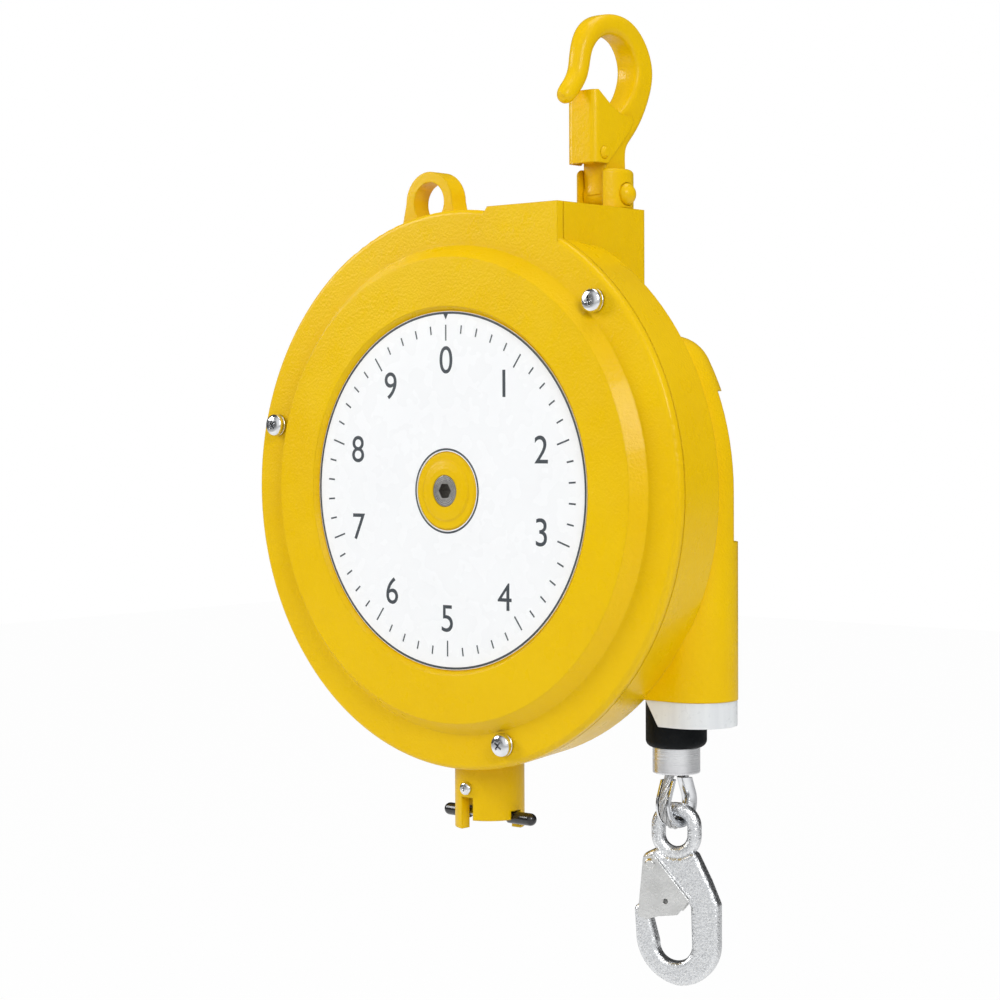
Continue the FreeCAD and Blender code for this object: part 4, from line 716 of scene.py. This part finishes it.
# %% [markdown]
# Three screws and their washers hold the cover on. The seats come from the CAD screws: the heads'
# faces are the frontmost, and the heads and washers lie behind them.

# %% Cover screws
SCREW_RING = 0.106
SCREW_COUNT = 3
SCREW_FIRST = math.radians(45)
WASHER_HALF = 0.0006
head_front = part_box("cover_screws")[0].y
washer_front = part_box("cover_screw_washers")[0].y


def ring_of_parts(name, mesh, front, node, seed):
    """A copy of a part at each cover screw, in place of the CAD node."""
    part = place_piece(name + "_part", mesh)
    piece = place_piece(name, grow(name, parts_in_a_ring, {
        "Centre": (AXIS.x, front, AXIS.z), "Radius": SCREW_RING, "Count": SCREW_COUNT,
        "First angle": SCREW_FIRST, "Part": part, "Seed": seed, "Material": bright_zinc}))
    bpy.data.objects.remove(part)
    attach(piece, "case")
    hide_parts(node)
    return piece


cross_screws = ring_of_parts("cross_screws", screw_mesh, head_front + SCREW_HEAD[1], "cover_screws", 4)
split_washers = ring_of_parts("split_washers", washer_mesh, washer_front + WASHER_HALF,
                              "cover_screw_washers", 2)
print("screws span", [round(v, 4) for v in cross_screws.dimensions], "washers",
      [round(v, 4) for v in split_washers.dimensions])

# %% Lock screw
lock_low, lock_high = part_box("lock_screw")
small_radius = (lock_high.x - lock_low.x) / 2
small_rise = small_radius * 0.7
small_screw = place_piece("lock_cross_screw", cross_head("lock_cross_screw", small_radius, small_rise))
small_screw.data.transform(Matrix.Translation(((lock_low.x + lock_high.x) / 2,
                                               lock_low.y + small_rise,
                                               (lock_low.z + lock_high.z) / 2)))
small_screw.data.materials.append(bright_zinc)
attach(small_screw, "case")
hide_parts("lock_screw")
print("lock screw head radius", round(small_radius * 1000, 2), "mm")

# %% [markdown]
# The face plate has a printed line round its edge and round the hub, and a small pointer at the top.
# Inside the edge runs a plain dial of ticks with numbers. Print has almost no thickness, so each mark
# is a slab a few hundredths of a millimetre thick that stands on the plate.

# %% Printed rings and pointer
PRINT = 0.00004
HUB_RADIUS = 0.0161


def printed_ring(name, inner, outer):
    """A flat ring on the face plate."""
    return spun(name, [(inner, 0.0), (outer, 0.0), (outer, PRINT), (inner, PRINT), (inner, 0.0)], 128)


def printed_shape(name, spots):
    """A flat outline of (across, up) spots on the face plate."""
    form = bmesh.new()
    face = form.faces.new([form.verts.new((x, 0.0, z)) for x, z in spots])
    for made in bmesh.ops.extrude_face_region(form, geom=[face])["geom"]:
        if isinstance(made, bmesh.types.BMVert):
            made.co.y -= PRINT
    bmesh.ops.recalc_face_normals(form, faces=form.faces)
    mesh = bpy.data.meshes.new(name)
    form.to_mesh(mesh)
    form.free()
    return mesh


def join_meshes(name, meshes):
    """One mesh out of several."""
    form = bmesh.new()
    for mesh in meshes:
        form.from_mesh(mesh)
    joined = bpy.data.meshes.new(name)
    form.to_mesh(joined)
    form.free()
    return joined


edge_line = printed_ring("edge_line", PLATE_RADIUS - 0.0011, PLATE_RADIUS - 0.0002)
hub_line = printed_ring("hub_line", HUB_RADIUS + 0.0006, HUB_RADIUS + 0.0014)
pointer = printed_shape("pointer", [(-0.0013, PLATE_RADIUS - 0.0010), (0.0013, PLATE_RADIUS - 0.0010),
                                    (0.0, PLATE_RADIUS - 0.0034)])
print("printed lines:", len(edge_line.polygons) + len(hub_line.polygons), "faces")

# %% Tree: dial ticks
def tick_tree():
    """Ticks round a circle in an upright plane, every few of them longer."""
    tree, start, end = new_tree("dial_ticks", [
        ("Geometry", "Geometry", None), ("Outer radius", "Float", 0.06), ("Count", "Int", 50),
        ("Long every", "Int", 5), ("Short", "Float", 0.0035), ("Long", "Float", 0.0065),
        ("Width", "Float", 0.0007), ("Thick", "Float", 0.00004), ("Material", "Material", None)])
    link = tree.links.new
    points = tree.nodes.new("GeometryNodePoints")
    index = tree.nodes.new("GeometryNodeInputIndex").outputs[0]
    angle = math_node(tree, "MULTIPLY", math_node(tree, "DIVIDE", index, start.outputs["Count"]), math.tau)
    plain = math_node(tree, "GREATER_THAN",
                      math_node(tree, "MODULO", index, start.outputs["Long every"]), 0.5)
    gain = math_node(tree, "SUBTRACT", start.outputs["Short"], start.outputs["Long"])
    length = math_node(tree, "ADD", start.outputs["Long"], math_node(tree, "MULTIPLY", plain, gain))
    middle = math_node(tree, "SUBTRACT", start.outputs["Outer radius"],
                       math_node(tree, "MULTIPLY", length, 0.5))
    spot = tree.nodes.new("ShaderNodeCombineXYZ")
    for wave, side in (("SINE", "X"), ("COSINE", "Z")):
        link(math_node(tree, "MULTIPLY", math_node(tree, wave, angle), middle), spot.inputs[side])
    put = tree.nodes.new("GeometryNodeSetPosition")
    block = tree.nodes.new("GeometryNodeMeshCube")
    block.inputs["Size"].default_value = (1.0, 1.0, 1.0)
    size = tree.nodes.new("ShaderNodeCombineXYZ")
    lean = tree.nodes.new("ShaderNodeCombineXYZ")
    copies = tree.nodes.new("GeometryNodeInstanceOnPoints")
    real = tree.nodes.new("GeometryNodeRealizeInstances")
    coat = tree.nodes.new("GeometryNodeSetMaterial")
    link(start.outputs["Count"], points.inputs["Count"])
    link(points.outputs[0], put.inputs["Geometry"])
    link(spot.outputs[0], put.inputs["Position"])
    link(start.outputs["Width"], size.inputs["X"])
    link(start.outputs["Thick"], size.inputs["Y"])
    link(length, size.inputs["Z"])
    link(angle, lean.inputs["Y"])
    link(put.outputs[0], copies.inputs["Points"])
    link(block.outputs[0], copies.inputs["Instance"])
    link(lean.outputs[0], copies.inputs["Rotation"])
    link(size.outputs[0], copies.inputs["Scale"])
    link(copies.outputs[0], real.inputs[0])
    link(real.outputs[0], coat.inputs["Geometry"])
    link(start.outputs["Material"], coat.inputs["Material"])
    link(coat.outputs[0], end.inputs[0])
    return tree


DIAL_RADIUS = PLATE_RADIUS - 0.0055
ticks = grow("ticks", tick_tree(), {"Outer radius": DIAL_RADIUS, "Material": dial_ink})
print("ticks:", len(ticks.polygons) // 6)

# %% Dial numbers
DIAL_NUMBERS = 10
NUMBER_HEIGHT = 0.0160
NUMBER_INSET = 0.0150


def printed_number(number, radius, height):
    """A number on the face plate at its place on the dial, upright."""
    curve = bpy.data.curves.new("number", "FONT")
    curve.body = str(number)
    curve.size = height
    curve.align_x = "CENTER"
    curve.align_y = "CENTER"
    curve.extrude = PRINT / 2
    writer = bpy.data.objects.new("number", curve)
    scene.collection.objects.link(writer)
    mesh = plain_mesh(writer, "number")
    bpy.data.objects.remove(writer)
    angle = math.tau * number / DIAL_NUMBERS
    mesh.transform(Matrix.Translation((radius * math.sin(angle), 0.0, radius * math.cos(angle)))
                   @ Matrix.Rotation(math.pi / 2, 4, "X"))
    return mesh


numbers = [printed_number(number, DIAL_RADIUS - NUMBER_INSET, NUMBER_HEIGHT)
           for number in range(DIAL_NUMBERS)]
print("numbers:", len(numbers))

# %% Dial print on the plate
dial_mesh = join_meshes("dial_print", [edge_line, hub_line, pointer, ticks, *numbers])
dial_mesh.transform(Matrix.Translation(AXIS))
dial_mesh.materials.clear()
dial_mesh.materials.append(dial_ink)
for face in dial_mesh.polygons:
    face.material_index = 0
dial_print = place_piece("dial_print", dial_mesh)
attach(dial_print, "case")
print("dial print:", len(dial_mesh.polygons), "faces, depth",
      round((max(v.co.y for v in dial_mesh.vertices) - min(v.co.y for v in dial_mesh.vertices)) * 1000, 3))

# %% [markdown]
# The cable is a wire rope: strands laid round a core, each made of wires laid round each other. One
# small tree does both. It copies a path and winds the copies round it as a right-hand helix. Run
# once it gives the strands, and run again on each strand it gives the wires.

# %% Tree: wind copies round a path
def winding_group():
    """A tree used inside another: copies of a curve wound round it."""
    tree = bpy.data.node_groups.new("wind_round", "GeometryNodeTree")
    for title, kind in (("Curve", "Geometry"), ("Count", "Int"), ("Radius", "Float"), ("Lay", "Float")):
        tree.interface.new_socket(title, in_out="INPUT", socket_type="NodeSocket" + kind)
    tree.interface.new_socket("Curve", in_out="OUTPUT", socket_type="NodeSocketGeometry")
    start, end = tree.nodes.new("NodeGroupInput"), tree.nodes.new("NodeGroupOutput")
    link = tree.links.new
    copy = tree.nodes.new("GeometryNodeDuplicateElements")
    copy.domain = "SPLINE"
    along = tree.nodes.new("GeometryNodeSplineParameter").outputs["Length"]
    share = math_node(tree, "DIVIDE", copy.outputs["Duplicate Index"], start.outputs["Count"])
    turns = math_node(tree, "ADD", share, math_node(tree, "DIVIDE", along, start.outputs["Lay"]))
    angle = math_node(tree, "MULTIPLY", turns, math.tau)
    normal = tree.nodes.new("GeometryNodeInputNormal").outputs[0]
    tangent = tree.nodes.new("GeometryNodeInputTangent").outputs[0]
    side = tree.nodes.new("ShaderNodeVectorMath")
    side.operation = "CROSS_PRODUCT"
    link(tangent, side.inputs[0])
    link(normal, side.inputs[1])
    parts = []
    for direction, wave in ((normal, "COSINE"), (side.outputs[0], "SINE")):
        scaled = tree.nodes.new("ShaderNodeVectorMath")
        scaled.operation = "SCALE"
        link(direction, scaled.inputs[0])
        link(math_node(tree, "MULTIPLY", math_node(tree, wave, angle), start.outputs["Radius"]),
             scaled.inputs["Scale"])
        parts.append(scaled.outputs[0])
    both = tree.nodes.new("ShaderNodeVectorMath")
    link(parts[0], both.inputs[0])
    link(parts[1], both.inputs[1])
    put = tree.nodes.new("GeometryNodeSetPosition")
    link(start.outputs["Curve"], copy.inputs["Geometry"])
    link(start.outputs["Count"], copy.inputs["Amount"])
    link(copy.outputs["Geometry"], put.inputs["Geometry"])
    link(both.outputs[0], put.inputs["Offset"])
    link(put.outputs[0], end.inputs[0])
    return tree


wind_round = winding_group()
print("tree:", wind_round.name, len(wind_round.nodes), "nodes")

# %% Tree: wire rope
WIRE_RADIUS, CORE_RADIUS = 0.00023, 0.00070


def rope_tree():
    """A rope of wires in strands along a path."""
    tree, start, end = new_tree("wire_rope", [
        ("Geometry", "Geometry", None), ("Path", "Object", None), ("Strands", "Int", 6),
        ("Strand radius", "Float", 0.00133), ("Strand lay", "Float", 0.022), ("Wires", "Int", 6),
        ("Wire radius", "Float", 0.00044), ("Wire lay", "Float", 0.0095), ("Points", "Int", 150),
        ("Material", "Material", None)])
    link = tree.links.new
    path = tree.nodes.new("GeometryNodeObjectInfo")
    even = tree.nodes.new("GeometryNodeResampleCurve")
    link(start.outputs["Path"], path.inputs["Object"])
    link(path.outputs["Geometry"], even.inputs["Curve"])
    link(start.outputs["Points"], even.inputs["Count"])
    level = even.outputs[0]
    for count, radius, lay in (("Strands", "Strand radius", "Strand lay"),
                               ("Wires", "Wire radius", "Wire lay")):
        wind = tree.nodes.new("GeometryNodeGroup")
        wind.node_tree = wind_round
        link(level, wind.inputs["Curve"])
        for title, socket in ((count, "Count"), (radius, "Radius"), (lay, "Lay")):
            link(start.outputs[title], wind.inputs[socket])
        level = wind.outputs[0]
    tube = []
    for curve, radius, sides in ((level, WIRE_RADIUS, 6), (even.outputs[0], CORE_RADIUS, 8)):
        ring = tree.nodes.new("GeometryNodeCurvePrimitiveCircle")
        ring.inputs["Resolution"].default_value = sides
        ring.inputs["Radius"].default_value = radius
        wire = tree.nodes.new("GeometryNodeCurveToMesh")
        wire.inputs["Fill Caps"].default_value = True
        link(curve, wire.inputs["Curve"])
        link(ring.outputs[0], wire.inputs["Profile Curve"])
        tube.append(wire.outputs[0])
    join = tree.nodes.new("GeometryNodeJoinGeometry")
    real = tree.nodes.new("GeometryNodeRealizeInstances")
    coat = tree.nodes.new("GeometryNodeSetMaterial")
    for made in tube:
        link(made, join.inputs[0])
    link(join.outputs[0], real.inputs[0])
    link(real.outputs[0], coat.inputs["Geometry"])
    link(start.outputs["Material"], coat.inputs["Material"])
    link(coat.outputs[0], end.inputs[0])
    return tree


wire_rope = rope_tree()
print("tree:", wire_rope.name, len(wire_rope.nodes), "nodes")

# %% [markdown]
# The rope leaves the ferrule, runs round the loop and goes back in. Its path is two straight legs and
# the round bottom that they are tangent to, held by five Bezier points.

# %% Rope loop
LOOP_RADIUS, LOOP_DROP, LEG_HALF = 0.0088, 0.0123, 0.0044
loop_low, loop_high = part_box("cable_loop")
loop_x, loop_y = (loop_low.x + loop_high.x) / 2, (loop_low.y + loop_high.y) / 2
loop_top = loop_high.z
loop_centre = loop_top - LOOP_DROP
touch = math.asin(LOOP_RADIUS / math.hypot(LEG_HALF, LOOP_DROP)) - math.atan2(LEG_HALF, LOOP_DROP)


def loop_path():
    """The middle line of the loop, as a Bezier curve."""
    curve = bpy.data.curves.new("loop_path", "CURVE")
    curve.dimensions = "3D"
    spline = curve.splines.new("BEZIER")
    spline.bezier_points.add(4)
    spline.resolution_u = 32
    reach = LOOP_RADIUS * 4 / 3 * math.tan((math.pi / 2 + touch) / 4)
    foot = (LOOP_RADIUS * math.cos(touch), loop_centre + LOOP_RADIUS * math.sin(touch))
    away = (math.sin(touch), -math.cos(touch))
    leg = 0.3 * (loop_top - foot[1])
    knots = [((LEG_HALF, loop_top), (LEG_HALF, loop_top + leg),
              (LEG_HALF + away[0] * leg, loop_top + away[1] * leg)),
             (foot, (foot[0] - away[0] * leg, foot[1] - away[1] * leg),
              (foot[0] + away[0] * reach, foot[1] + away[1] * reach)),
             ((0.0, loop_centre - LOOP_RADIUS), (reach, loop_centre - LOOP_RADIUS),
              (-reach, loop_centre - LOOP_RADIUS))]
    knots += [((-spot[0], spot[1]), (-after[0], after[1]), (-before[0], before[1]))
              for spot, before, after in (knots[1], knots[0])]
    for point, (spot, before, after) in zip(spline.bezier_points, knots):
        point.handle_left_type = point.handle_right_type = "FREE"
        point.co = (loop_x, loop_y + spot[0], spot[1])
        point.handle_left = (loop_x, loop_y + before[0], before[1])
        point.handle_right = (loop_x, loop_y + after[0], after[1])
    path = bpy.data.objects.new("loop_path", curve)
    scene.collection.objects.link(path)
    return path


path = loop_path()
rope_loop = place_piece("rope_loop", grow("rope_loop", wire_rope, {"Path": path, "Material": rope_steel}))
bpy.data.objects.remove(path)
rope_loop.data.shade_smooth()
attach(rope_loop, "cable_end")
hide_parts("cable_loop")
print("rope loop faces:", len(rope_loop.data.polygons), "size", [round(v, 4) for v in rope_loop.dimensions],
      "CAD", [round(v, 4) for v in loop_high - loop_low])

# %% [markdown]
# The floor lies well below the snap hook. To the camera it is nearly the white of the surround, so no
# horizon shows, and a small share of its real shade is left in, which keeps the soft shadow.

# %% Floor
FLOOR_DROP, FLOOR_HALF, FLOOR_WHITE = 0.25, 4, 0.97
floor_z = cad_box[0][2] - FLOOR_DROP
floor_mesh = bpy.data.meshes.new("floor")
floor_mesh.from_pydata([(x * FLOOR_HALF, y * FLOOR_HALF, floor_z)
                        for x, y in ((-1, -1), (1, -1), (1, 1), (-1, 1))], [], [(0, 1, 2, 3)])
floor = place_piece("floor", floor_mesh)
floor_material = bpy.data.materials.new("floor_white")
floor_material.use_nodes = True
floor_tree = floor_material.node_tree
floor_shader = floor_tree.nodes["Principled BSDF"]
floor_shader.inputs["Base Color"].default_value = (0.9, 0.9, 0.9, 1.0)
floor_shader.inputs["Roughness"].default_value = 0.9
floor_seen = floor_tree.nodes.new("ShaderNodeEmission")
floor_path = floor_tree.nodes.new("ShaderNodeLightPath")
floor_share = math_node(floor_tree, "MULTIPLY", floor_path.outputs["Is Camera Ray"], FLOOR_WHITE)
floor_mix = floor_tree.nodes.new("ShaderNodeMixShader")
floor_tree.links.new(floor_share, floor_mix.inputs[0])
floor_tree.links.new(floor_shader.outputs[0], floor_mix.inputs[1])
floor_tree.links.new(floor_seen.outputs[0], floor_mix.inputs[2])
floor_tree.links.new(floor_mix.outputs[0], floor_tree.nodes["Material Output"].inputs["Surface"])
floor_mesh.materials.append(floor_material)
print("floor at", round(floor_z, 3))
